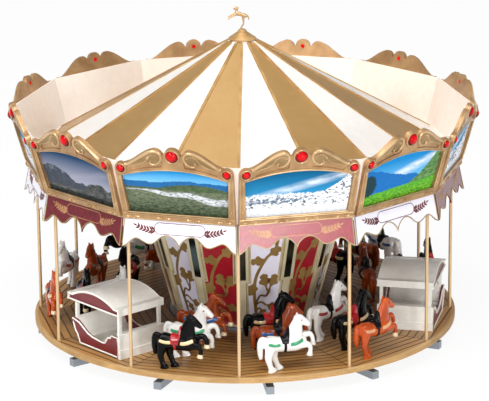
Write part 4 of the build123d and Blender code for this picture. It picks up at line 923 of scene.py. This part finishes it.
def make_valance_prints():
    """An empty cartouche between two laurel sprigs: red-brown on the white cloths, gold on the red."""
    for colour, first in (("gold", 0), ("brown", 1)):
        mould = Mould()
        for side in range(first, SIDES, 2):
            place = valance_place(side)
            stroke(mould, cartouche(), 0.32, 0, 0.05, place, closed=True)
            for hand in (-1, 1):
                sprig = place @ mirrored(hand)
                stem = eased(SPRIG_STEM, 4)
                stroke(mould, stem, 0.26, 0.0, 0.06, sprig)
                # leaves in pairs, smaller towards the tip, and one at the tip
                for i in range(SPRIG_PAIRS):
                    for way in (-1, 1):
                        angle = 0.12 + 0.06 * i + way * 0.72
                        leaf = turned(leaf_outline(2.9 - 0.16 * i, 0.95), *stem[2 * i], angle)
                        mould.slab(leaf, 0, 0.07, sprig)
                mould.slab(turned(leaf_outline(2.2, 0.75), *stem[-1], 0.4), 0, 0.07, sprig)
        paint = SPRIG_GOLD if colour == "gold" else SPRIG_BROWN
        mould.piece(f"valance_print_{colour}", "carousel", [paint], smooth=False)


# the branch on a drum panel: its stem, and twigs with (start on the stem, way, leaf's lean, leaf's length)
BRANCH = (
    (-2.6, 2.0),
    (-3.3, 9.9),
    (-4.4, 18.0),
    (-4.3, 27.0),
    (-2.2, 33.3),
    (0.6, 38.6),
    (4.4, 43.0),
    (5.4, 50.0),
    (2.0, 58.0),
    (-3.4, 66.0),
    (-4.6, 76.0),
)
TWIGS = (
    (6, ((-1.2, 10.6),), -60, 5.4),
    (8, ((-1.6, 17.6), (1.1, 17.2), (2.2, 19.2), (1.3, 21.6)), 104, 8.4),
    (8, ((-1.6, 17.6), (1.1, 17.2), (2.6, 19.2), (2.9, 21.6)), 70, 8.0),
    (8, ((-1.0, 14.0), (1.4, 12.2)), -20, 6.4),
    (17, (), -108, 8.0),
    (29, (), 190, 7.6),
    (31, (), 36, 7.6),
    (38, ((3.4, 47.0), (0.4, 46.6), (-2.6, 48.6)), 150, 8.4),
    (38, ((3.4, 47.0), (0.4, 46.6), (-1.8, 49.6)), 96, 8.4),
    (46, (), 40, 8.2),
    (52, (), -150, 7.8),
    (56, ((-0.6, 72.0),), 50, 7.0),
)


def make_drum_foliage():
    """A climbing branch with lobed leaves on each of the drum's panels."""
    low, high = 0.02, 0.14
    for colour, first in (("white", 0), ("red", 1)):
        mould = Mould()
        for face in range(first, DRUM_FACES, 2):
            azimuth = (face + 0.5) * FULL_TURN / DRUM_FACES
            place = leaning(azimuth, DRUM_APOTHEM, DRUM_Z, DRUM_FLARE) @ Matrix.Translation((0, 0, 0.5))
            stem = eased(BRANCH, 6)
            stroke(mould, stem, 1.5, low, high, place)
            for start, way, lean, size in TWIGS:
                line = [stem[start], *way]
                if way:
                    stroke(mould, eased(line, 4), 1.0, low, high, place)
                leaf = turned(leaf_outline(size, size * 0.7, lobes=True), *line[-1], math.radians(lean))
                mould.slab(leaf, low, high + 0.03, place)
        paint = LEAF_BROWN if colour == "white" else LEAF_GOLD
        mould.piece(f"drum_foliage_{colour}", "stand", [paint], smooth=False)


# ---------------------------------------------------------------- the horses
HORSE_BARREL = (
    (-9.4, 0, 13.6, 1.6, 1.8),
    (-8.9, 0, 13.4, 2.5, 2.9),
    (-6.8, 0, 13.1, 3.25, 3.9),
    (-3.0, 0, 12.8, 3.2, 3.6),
    (1.0, 0, 12.8, 3.25, 3.65),
    (5.0, 0, 13.2, 3.3, 4.0),
    (7.6, 0, 13.8, 2.7, 3.2),
    (8.6, 0, 14.1, 1.8, 2.1),
)
HORSE_TUBES = (
    # neck and head
    (
        (3.8, 0, 13.8, 2.8, 4.4),
        (4.4, 0, 17.8, 2.35, 3.9),
        (5.2, 0, 21.2, 1.95, 3.0),
        (6.1, 0, 23.8, 1.65, 2.2),
    ),
    (
        (5.0, 0, 24.9, 1.4, 1.5),
        (6.6, 0, 24.3, 1.7, 2.3),
        (8.8, 0, 22.9, 1.4, 1.8),
        (10.7, 0, 21.7, 1.15, 1.25),
    ),
    # hind legs
    (
        (-7.0, -1.7, 12.4, 1.7, 3.1),
        (-7.7, -1.7, 9.2, 1.5, 2.2),
        (-8.2, -1.7, 6.4, 1.25, 1.7),
        (-7.5, -1.7, 3.4, 1.1, 1.3),
        (-6.9, -1.7, 1.7, 1.2, 1.45),
    ),
    (
        (-6.0, 1.7, 12.3, 1.7, 3.1),
        (-5.2, 1.7, 9.0, 1.5, 2.3),
        (-4.9, 1.7, 6.2, 1.25, 1.7),
        (-3.8, 1.7, 3.3, 1.1, 1.3),
        (-3.1, 1.7, 1.7, 1.2, 1.45),
    ),
    # front legs, raised
    (
        (5.6, -1.6, 12.6, 1.5, 2.5),
        (8.4, -1.7, 12.4, 1.3, 1.75),
        (10.5, -1.7, 12.2, 1.2, 1.3),
        (11.4, -1.7, 10.5, 1.0, 1.05),
        (11.3, -1.7, 8.6, 1.0, 1.05),
    ),
    (
        (5.6, 1.4, 13.6, 1.4, 2.3),
        (8.9, 1.7, 15.6, 1.3, 1.65),
        (11.5, 1.7, 16.4, 1.2, 1.3),
        (12.9, 1.7, 14.8, 1.0, 1.05),
        (13.3, 1.7, 12.6, 1.0, 1.0),
    ),
    # tail
    (
        (-8.8, 0, 15.2, 0.9, 1.2),
        (-10.9, 0, 15.6, 1.1, 1.3),
        (-11.8, 0, 13.4, 1.2, 1.35),
        (-11.7, 0, 9.6, 1.2, 1.35),
        (-11.4, 0, 6.4, 0.7, 0.9),
    ),
)
HORSE_BUMPS = (
    # cheek, muzzle, chest, croup, knees and hocks
    ((7.0, 0, 23.5), (2.0, 1.75, 1.9)),
    ((10.7, 0, 21.6), (1.25, 1.2, 1.15)),
    ((6.8, 0, 13.6), (2.7, 2.7, 3.2)),
    ((-7.4, -1.2, 13.3), (2.6, 2.3, 3.5)),
    ((-7.0, 1.2, 13.3), (2.6, 2.3, 3.5)),
    ((10.6, -1.7, 12.0), (1.3, 1.25, 1.35)),
    ((11.7, 1.7, 16.2), (1.3, 1.25, 1.35)),
    ((-8.2, -1.7, 6.1), (1.25, 1.15, 1.45)),
    ((-4.9, 1.7, 5.9), (1.25, 1.15, 1.45)),
)
# sole, and which way the leg rises from it
HORSE_HOOVES = (
    ((-6.3, -1.7, 0.0), (-0.4, 0, 1.8)),
    ((-2.5, 1.7, 0.0), (-0.4, 0, 1.8)),
    ((11.0, -1.7, 6.9), (0.25, 0, 1.8)),
    ((13.2, 1.7, 10.8), (0.1, 0, 1.8)),
)
EAR = ((5.5, 0.8, 25.4, 0.6, 0.7), (5.6, 0.95, 26.4, 0.5, 0.5), (5.8, 1.0, 27.2, 0.2, 0.2))
FORELOCK = ((6.2, 0, 26.0, 0.6, 0.6), (7.4, 0, 25.7, 0.65, 0.5), (8.2, 0, 24.9, 0.35, 0.3))
MANE_LOCKS = 9
TUBE_END = (25, 50, 75)  # degrees round a tube's rounded end at which it has rings


def tube(mould, stations, steps=4, count=16):
    """An elliptical tube with rounded ends. A station is x, y, z, half-width across, half-depth."""
    line = eased(stations, steps)
    centres = [Vector(p[:3]) for p in line]
    rings = []

    def add_ring(centre, ahead, wide, deep):
        across = (Vector((0, 1, 0)) - ahead * ahead.y).normalized()
        rise = ahead.cross(across)
        rings.append([centre + across * wide * c + rise * deep * s for c, s in round_points(count)])

    def add_end_ring(station, way, ahead, turn):
        wide, deep = station[3:]
        push = min(wide, deep) * math.sin(turn) * 0.8
        add_ring(Vector(station[:3]) + way * push, ahead, wide * math.cos(turn), deep * math.cos(turn))

    start = (centres[1] - centres[0]).normalized()
    finish = (centres[-1] - centres[-2]).normalized()
    for turn in reversed(TUBE_END):
        add_end_ring(line[0], -start, start, math.radians(turn))
    for i, station in enumerate(line):
        before, after = neighbours(centres, i)
        add_ring(centres[i], (after - before).normalized(), station[3], station[4])
    for turn in TUBE_END:
        add_end_ring(line[-1], finish, finish, math.radians(turn))
    mould.rings(rings)


# up the hoof: the share of its height, half-width and half-depth
HOOF_RINGS = ((0.0, 1.2, 1.25), (0.12, 1.32, 1.38), (0.8, 1.12, 1.1), (1.0, 0.95, 0.92))
HIND_HOOF_STRETCH = 1.65
FRONT_HOOF_STRETCH = 1.1


def hoof(mould, sole, rise, grow=0.0):
    """A hoof. The hind ones, which stand on the deck, are longer."""
    stretch = HIND_HOOF_STRETCH if sole[2] == 0 else FRONT_HOOF_STRETCH
    sole, rise = Vector(sole), Vector(rise)
    across = Vector((0, 1, 0))
    front = across.cross(rise.normalized())
    rings = []
    for along, wide, deep in HOOF_RINGS:
        middle = sole + rise * along
        wide, deep = wide + grow, deep * stretch + grow
        rings.append([middle + across * c * wide + front * s * deep for c, s in round_points(16)])
    mould.rings(rings)


def melted(mould, name, voxel, smooth, keep):
    """One smoothed skin over all in the mould, in millimetres, with that share of its faces kept."""
    mesh = bpy.data.meshes.new(name)
    mesh.from_pydata([tuple(p) for p in mould.points], [], mould.faces)
    work = bpy.data.objects.new(name, mesh)
    bpy.context.scene.collection.objects.link(work)
    remesh = work.modifiers.new("skin", "REMESH")
    remesh.mode = "VOXEL"
    remesh.voxel_size = voxel
    ease = work.modifiers.new("ease", "SMOOTH")
    ease.factor = 0.5
    ease.iterations = smooth
    thin = work.modifiers.new("thin", "DECIMATE")
    thin.ratio = keep
    made = bpy.data.meshes.new_from_object(work.evaluated_get(bpy.context.evaluated_depsgraph_get()))
    bpy.data.objects.remove(work)
    return made


def horse_skin():
    """The bare horse: body, legs, hooves, ears, mane and tail under one skin."""
    mould = Mould()
    tube(mould, HORSE_BARREL, 4, 24)
    for stations in HORSE_TUBES:
        tube(mould, stations)
    for centre, radii in HORSE_BUMPS:
        mould.ball(centre, radii, count=14)
    for sole, rise in HORSE_HOOVES:
        hoof(mould, sole, rise)
    for hand in (-1, 1):
        tube(mould, [(x, hand * y, z, wide, deep) for x, y, z, wide, deep in EAR], 3, 10)
    # the mane's locks lie back along the neck
    for i in range(MANE_LOCKS):
        t = i / (MANE_LOCKS - 1)
        x = 1.7 + 3.3 * t + 0.35 * math.sin(i * 1.7)
        z = 16.6 + 8.2 * t
        root = (x + 1.9, 0, z + 0.7, 0.9, 0.75)
        tube(mould, [root, (x + 0.1, 0, z + 0.35, 0.75, 0.7), (x - 0.8, 0, z - 0.5, 0.35, 0.35)], 2, 8)
    tube(mould, FORELOCK, 2, 8)
    # locks of the tail
    for y, reach in ((-0.8, 0.0), (0.8, 0.35)):
        root = (-11.0, y, 14.6, 0.5, 0.6)
        tube(mould, [root, (-12.2 - reach, y, 11.6, 0.55, 0.6), (-11.9 - reach, y, 7.9, 0.3, 0.35)], 3, 8)
    return melted(mould, "horse_skin", voxel=0.26, smooth=2, keep=0.3)


PAD_SINK = 0.25  # how far a pad reaches into the skin


def patch(mould, tree, spots, thick):
    """A pad on the horse's skin. spots is a grid of (start, way) lines.

    thick gives its height at a share of the rows and a share of the columns."""
    rows = len(spots)
    columns = len(spots[0])
    outer, inner = [], []
    for i, row in enumerate(spots):
        for j, (start, way) in enumerate(row):
            way = Vector(way).normalized()
            spot, normal = tree.ray_cast(Vector(start), way)[:2]
            if spot is None:
                return
            lift = (normal - way).normalized()
            outer.append(spot + lift * thick(i / (rows - 1), j / (columns - 1)))
            inner.append(spot - lift * PAD_SINK)
    count = rows * columns
    faces = []
    for i in range(rows - 1):
        for j in range(columns - 1):
            a = i * columns + j
            faces.append((a, a + 1, a + columns + 1, a + columns))
            faces.append((count + a, count + a + columns, count + a + columns + 1, count + a + 1))
    rim = [*range(columns - 1), *range(columns - 1, count - 1, columns)]
    rim += [*range(count - 1, count - columns, -1), *range(count - columns, 0, -columns)]
    for a, b in zip(rim, rim[1:] + rim[:1]):
        faces.append((b, a, count + a, count + b))
    mould.add(outer + inner, faces)


def rounded(u, v, edge):
    """1 over most of a pad, rounding off to 0 at its edges; a higher edge power keeps it flat for longer."""
    t, s = abs(2 * u - 1), abs(2 * v - 1)
    return (max(0.0, 1 - t**edge) * max(0.0, 1 - s**edge)) ** 0.5


BARREL_AXIS = 12.9  # height above the deck
OVER_MANE = 12.0  # how far off that axis the lines that lay the saddle start
UNDER_BELLY = 5.5  # and those of the girth, which are clear of the legs
GIRTH_HALF = 0.6


def saddle_shape(tree, middle, half_length, hang):
    """A seat with a raised back, its cloth hanging down by that angle, and a girth."""
    mould = Mould()

    def crosswise(turn, x, away):
        """A line towards the barrel's axis at x, from an angle off upright."""
        out = Vector((0, math.sin(turn), math.cos(turn)))
        return Vector((x, 0, BARREL_AXIS)) + out * away, -out

    grid = []
    for i in range(21):
        t = 2 * i / 20 - 1
        half = half_length * (1 - 0.36 * abs(t) ** 1.5)
        turn = math.radians(hang * t)
        grid.append([crosswise(turn, middle + half * (j / 6 - 1), OVER_MANE) for j in range(13)])

    def saddle(u, v):
        t, s = 2 * u - 1, 2 * v - 1
        horn = 0.5 * abs(s) ** 3 * max(0.0, 1 - (t / 0.35) ** 2)
        return 0.1 + rounded(u, v, 8) * (0.45 + horn)

    patch(mould, tree, grid, saddle)
    for hand in (-1, 1):
        turns = [math.radians(hang - 2 + (182 - hang) * i / 12) * hand for i in range(13)]
        across = [middle + GIRTH_HALF * (j / 2 - 1) for j in range(5)]
        grid = [[crosswise(turn, x, UNDER_BELLY) for x in across] for turn in turns]
        patch(mould, tree, grid, lambda u, v: 0.22 + 0.1 * (1 - abs(2 * v - 1) ** 2))
    return mould


STRAP_T = 0.22
BESIDE_FLANK = 12.0  # how far from the horse's middle the lines that lay a strap start
# each strap's line and width: the breast band, and the band towards the tail
STRAPS = (
    (((1.9, 13.3), (3.9, 13.5), (5.9, 14.1), (7.9, 15.0)), 1.7),
    (((-2.7, 13.4), (-4.6, 13.2), (-6.5, 13.4), (-8.4, 14.0)), 1.5),
)


def strap_shape(tree):
    """The painted bands on both flanks."""
    mould = Mould()
    for hand in (-1, 1):
        for line, width in STRAPS:
            path = eased(line, 4)
            grid = []
            for i, (x, z) in enumerate(path):
                before, after = neighbours(path, i)
                ahead = Vector((after[0] - before[0], after[1] - before[1])).normalized()
                half = width / 2 * (0.7 if i in (0, len(path) - 1) else 1.0)
                row = []
                for j in range(5):
                    off = half * (j / 2 - 1)
                    start = (x - ahead.y * off, hand * BESIDE_FLANK, z + ahead.x * off)
                    row.append((start, (0, -hand, 0)))
                grid.append(row)
            patch(mould, tree, grid, lambda u, v: STRAP_T * rounded(u, v, 6))
    return mould


# coat, saddle and strap of the horses abreast at each azimuth in degrees, from the outside in
TEAMS = {
    -17.4: (("black", "red", "cream"), ("white", "black", "green"), ("bay", "black", "blue")),
    12.8: (("white", "black", "green"), ("bay", "black", "blue"), ("black", "red", "cream")),
    41.5: (("sorrel", "black", "tan"), ("black", "red", "cream"), ("white", "black", "red")),
    102.6: (("black", "red", "cream"), ("white", "black", "green"), ("bay", "black", "tan")),
    132.6: (("white", "black", "blue"), ("bay", "black", "green"), ("black", "red", "cream")),
    162.6: (("bay", "black", "blue"), ("black", "red", "green"), ("white", "black", "red")),
    222.6: (("black", "red", "cream"), ("white", "black", "green"), ("bay", "red", "tan")),
    252.6: (("white", "black", "red"), ("bay", "black", "tan"), ("black", "red", "cream")),
    282.6: (("sorrel", "black", "cream"), ("black", "red", "blue"), ("white", "black", "green")),
}
STRAP_COLOURS = ("green", "cream", "tan", "blue", "red")
HORSE_ROWS = (94.0, 78.5, 61.0)
# each saddle's paint, middle and half-length along the horse, and how far round its cloth hangs, in degrees
SADDLES = {"black": (TACK_BLACK, -0.4, 2.2, 76), "red": (TACK_RED, -0.9, 2.6, 100)}
COATS = {"white": COAT_WHITE, "black": COAT_BLACK, "bay": COAT_BAY, "sorrel": COAT_SORREL}
HORSE_EYE = (7.4, 1.55, 24.1)


def make_horses():
    """Twenty-seven horses with their saddles, straps, painted front hooves and eyes."""
    skin = horse_skin()
    tree = BVHTree.FromPolygons([v.co for v in skin.vertices], [tuple(p.vertices) for p in skin.polygons])
    saddles = {seat: saddle_shape(tree, *shape) for seat, (_, *shape) in SADDLES.items()}
    straps = strap_shape(tree)
    hooves = Mould()
    for sole, rise in HORSE_HOOVES[2:]:
        hoof(hooves, sole, rise, grow=0.06)
    eyes = Mould()
    x, y, z = HORSE_EYE
    for hand in (-1, 1):
        eyes.ball((x, hand * y, z), (0.42, 0.22, 0.36), count=10)

    herd = {coat: Mould() for coat in COATS}
    seats = {seat: Mould() for seat in SADDLES}
    all_straps, all_hooves, all_eyes = Mould(), Mould(), Mould()
    points = [v.co.copy() for v in skin.vertices]
    faces = [tuple(p.vertices) for p in skin.polygons]
    for azimuth, team in TEAMS.items():
        for radius, (coat, seat, strap) in zip(HORSE_ROWS, team):
            place = standing(math.radians(azimuth), radius, DECK_TOP)
            herd[coat].add(points, faces, place)
            seats[seat].add(saddles[seat].points, saddles[seat].faces, place)
            all_straps.add(straps.points, straps.faces, place, STRAP_COLOURS.index(strap))
            all_hooves.add(hooves.points, hooves.faces, place, int(coat == "white"))
            all_eyes.add(eyes.points, eyes.faces, place)
    for coat, mould in herd.items():
        piece = mould.piece(f"gallopers_{coat}", "carousel", [COATS[coat]], slot=f"{coat}_plastic")
        # the carved skin is smooth all over, without a crease
        for edge in piece.data.edges:
            edge.use_edge_sharp = False
        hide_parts(f"horses_{coat}")
    for seat, mould in seats.items():
        paint = SADDLES[seat][0]
        piece = mould.piece(f"tack_{seat}", "carousel", [paint], slot=f"{seat}_plastic")
        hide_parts(f"saddles_{seat}")
    all_straps.piece("horse_straps", "carousel", [STRAP_PAINTS[c] for c in STRAP_COLOURS])
    all_hooves.piece("front_hooves", "carousel", [HOOF_CREAM, HOOF_GREY])
    all_eyes.piece("horse_eyes", "carousel", [TACK_BLACK])


# ---------------------------------------------------------------- the carriages' edging
CARRIAGES = ((-47.5, 80.5, 1), (78.8, 82.6, -1), (195.0, 82.0, 1))  # azimuth, radius, facing
CAR_L = 38.6
CAR_W = 27.0
CAR_EAVES = 20.8
CAR_FASCIA = 3.3
CAR_RISE = 3.8
CAR_SHOULDER = 3.4
PIPING = 0.42
CAR_SIDE = (
    (18.2, 0.8),
    (18.2, 10.2),
    (13.7, 10.2),
    (12.7, 8.9),
    (10.8, 8.6),
    (8.7, 5.5),
    (6.8, 5.2),
    (-0.6, 5.9),
    (-3.9, 6.8),
    (-7.5, 8.8),
    (-10.7, 10.8),
    (-15.6, 11.8),
    (-15.2, 10.0),
    (-13.6, 6.3),
    (-12.0, 4.7),
    (-10.2, 0.8),
)


def make_carriage_trim():
    """Cream piping round the curved sides and along the roof's bow and eaves."""
    mould = Mould()
    half = CAR_L / 2
    tip = half - 0.3
    top = CAR_EAVES + CAR_FASCIA
    bow = arch(half - CAR_SHOULDER, top, top + CAR_RISE, 16)
    gable = [(-tip, top), *bow, (tip, top)]
    for azimuth, radius, facing in CARRIAGES:
        place = standing(math.radians(azimuth), radius, DECK_TOP) @ mirrored(facing)
        for y in (-CAR_W / 2, CAR_W / 2):
            mould.rod([(x, y, z) for x, z in CAR_SIDE], PIPING, place, closed=True)
            mould.rod([(x, y, z - 0.25) for x, z in gable], PIPING - 0.02, place)
            mould.rod([(x, y, CAR_EAVES + 0.3) for x in (-tip, tip)], PIPING, place)
    mould.piece("carriage_piping", "carousel", [CAR_WHITE], slot="white_plastic")


make_mouldings()
make_settings()
make_valance_prints()
make_drum_foliage()
make_horses()
make_carriage_trim()


# ---------------------------------------------------------------- camera, light and floor
FLOOR_REACH = 4.0  # metres
FLOOR_WHITE = 0.92  # how much of the floor's own light is seen; the rest keeps the shadow
CAMERA_AZIMUTH = math.radians(1.64)
CAMERA_ELEVATION = math.radians(16.417)
CAMERA_DISTANCE = 1.2968
CAMERA_TARGET = Vector((0, 0, 0.0626))
CAMERA_ROLL = math.radians(-0.588)
LAMP_TARGET = Vector((0, 0, 0.08))
# azimuth and elevation in degrees, distance, width and height in metres, and power
LAMPS = {
    "overhead": (-20, 74, 1.5, 1.3, 1.1, 17),
    "left_box": (-42, 34, 1.7, 0.5, 0.5, 12),
    "right_strip": (23.2, 7, 1.9, 0.32, 0.4, 11),
    "front_fill": (-7, 8, 1.9, 0.4, 0.3, 4),
    "high_spark": (-4, 60, 1.6, 0.11, 0.11, 3.2),
    "right_spark": (34, 38, 1.6, 0.11, 0.11, 3.2),
}


def way_out(azimuth, elevation):
    """The direction from the middle of the carousel. Angles in radians."""
    flat = math.cos(elevation)
    return Vector((math.sin(azimuth) * flat, -math.cos(azimuth) * flat, math.sin(elevation)))


def linked(name, data):
    made = bpy.data.objects.new(name, data)
    bpy.context.scene.collection.objects.link(made)
    return made


def floor_paint():
    """White to the camera and in reflections; elsewhere a plain pale surface that keeps the shadow."""
    paint = Paint("floor_white")
    plain = paint.node("ShaderNodeBsdfDiffuse", None, {"Color": tint("EDEDED")})
    glow = paint.node("ShaderNodeEmission", None, {"Color": (1, 1, 1, 1), "Strength": 1.0})
    mask = paint.seen_by("Camera", "Glossy", "Transmission") * FLOOR_WHITE
    both = paint.node("ShaderNodeMixShader", None, {0: mask, 1: plain, 2: glow})
    paint.node("ShaderNodeOutputMaterial", None, {"Surface": both})
    return paint.material


def lay_floor():
    made = bpy.data.meshes.new("floor")
    corners = [(x * FLOOR_REACH, y * FLOOR_REACH, 0) for x, y in ((-1, -1), (1, -1), (1, 1), (-1, 1))]
    made.from_pydata(corners, [], [(0, 1, 2, 3)])
    made.materials.append(floor_paint())
    floor = linked("floor", made)


def hang_lamp(name, azimuth, elevation, distance, width, height, power):
    """A soft box that faces the carousel."""
    lamp = bpy.data.lights.new(name, "AREA")
    lamp.shape = "RECTANGLE"
    lamp.size = width
    lamp.size_y = height
    lamp.energy = power
    way = way_out(math.radians(azimuth), math.radians(elevation))
    made = linked(name, lamp)
    made.location = LAMP_TARGET + way * distance
    made.rotation_mode = "QUATERNION"
    made.rotation_quaternion = way.to_track_quat("Z", "Y")


def light_world():
    """White behind everything; a dim grey room for the light it gives."""
    world = Paint("studio", bpy.data.worlds)
    white = world.node("ShaderNodeBackground", None, {"Color": (1, 1, 1, 1)})
    dim = world.node("ShaderNodeBackground", None, {"Color": (0.62, 0.63, 0.65, 1), "Strength": 0.5})
    mask = world.seen_by("Camera", "Transmission")
    both = world.node("ShaderNodeMixShader", None, {0: mask, 1: dim, 2: white})
    world.node("ShaderNodeOutputWorld", None, {"Surface": both})
    bpy.context.scene.world = world.material


def set_camera():
    """A long lens, a little above the roof's eaves and just right of the front post."""
    back = way_out(CAMERA_AZIMUTH, CAMERA_ELEVATION)
    lens = bpy.data.cameras.new("camera")
    lens.sensor_width = 36
    lens.lens = 196.63
    lens.clip_start = 0.05
    lens.clip_end = 20
    lens.shift_x = 0.0012
    camera = linked("camera", lens)
    camera.location = CAMERA_TARGET + back * CAMERA_DISTANCE
    camera.rotation_mode = "QUATERNION"
    roll = Matrix.Rotation(CAMERA_ROLL, 3, "Z").to_quaternion()
    camera.rotation_quaternion = (-back).to_track_quat("-Z", "Y") @ roll
    bpy.context.scene.camera = camera


set_camera()
light_world()
lay_floor()
for name, settings in LAMPS.items():
    hang_lamp(name, *settings)
bpy.context.scene.view_settings.view_transform = "Standard"
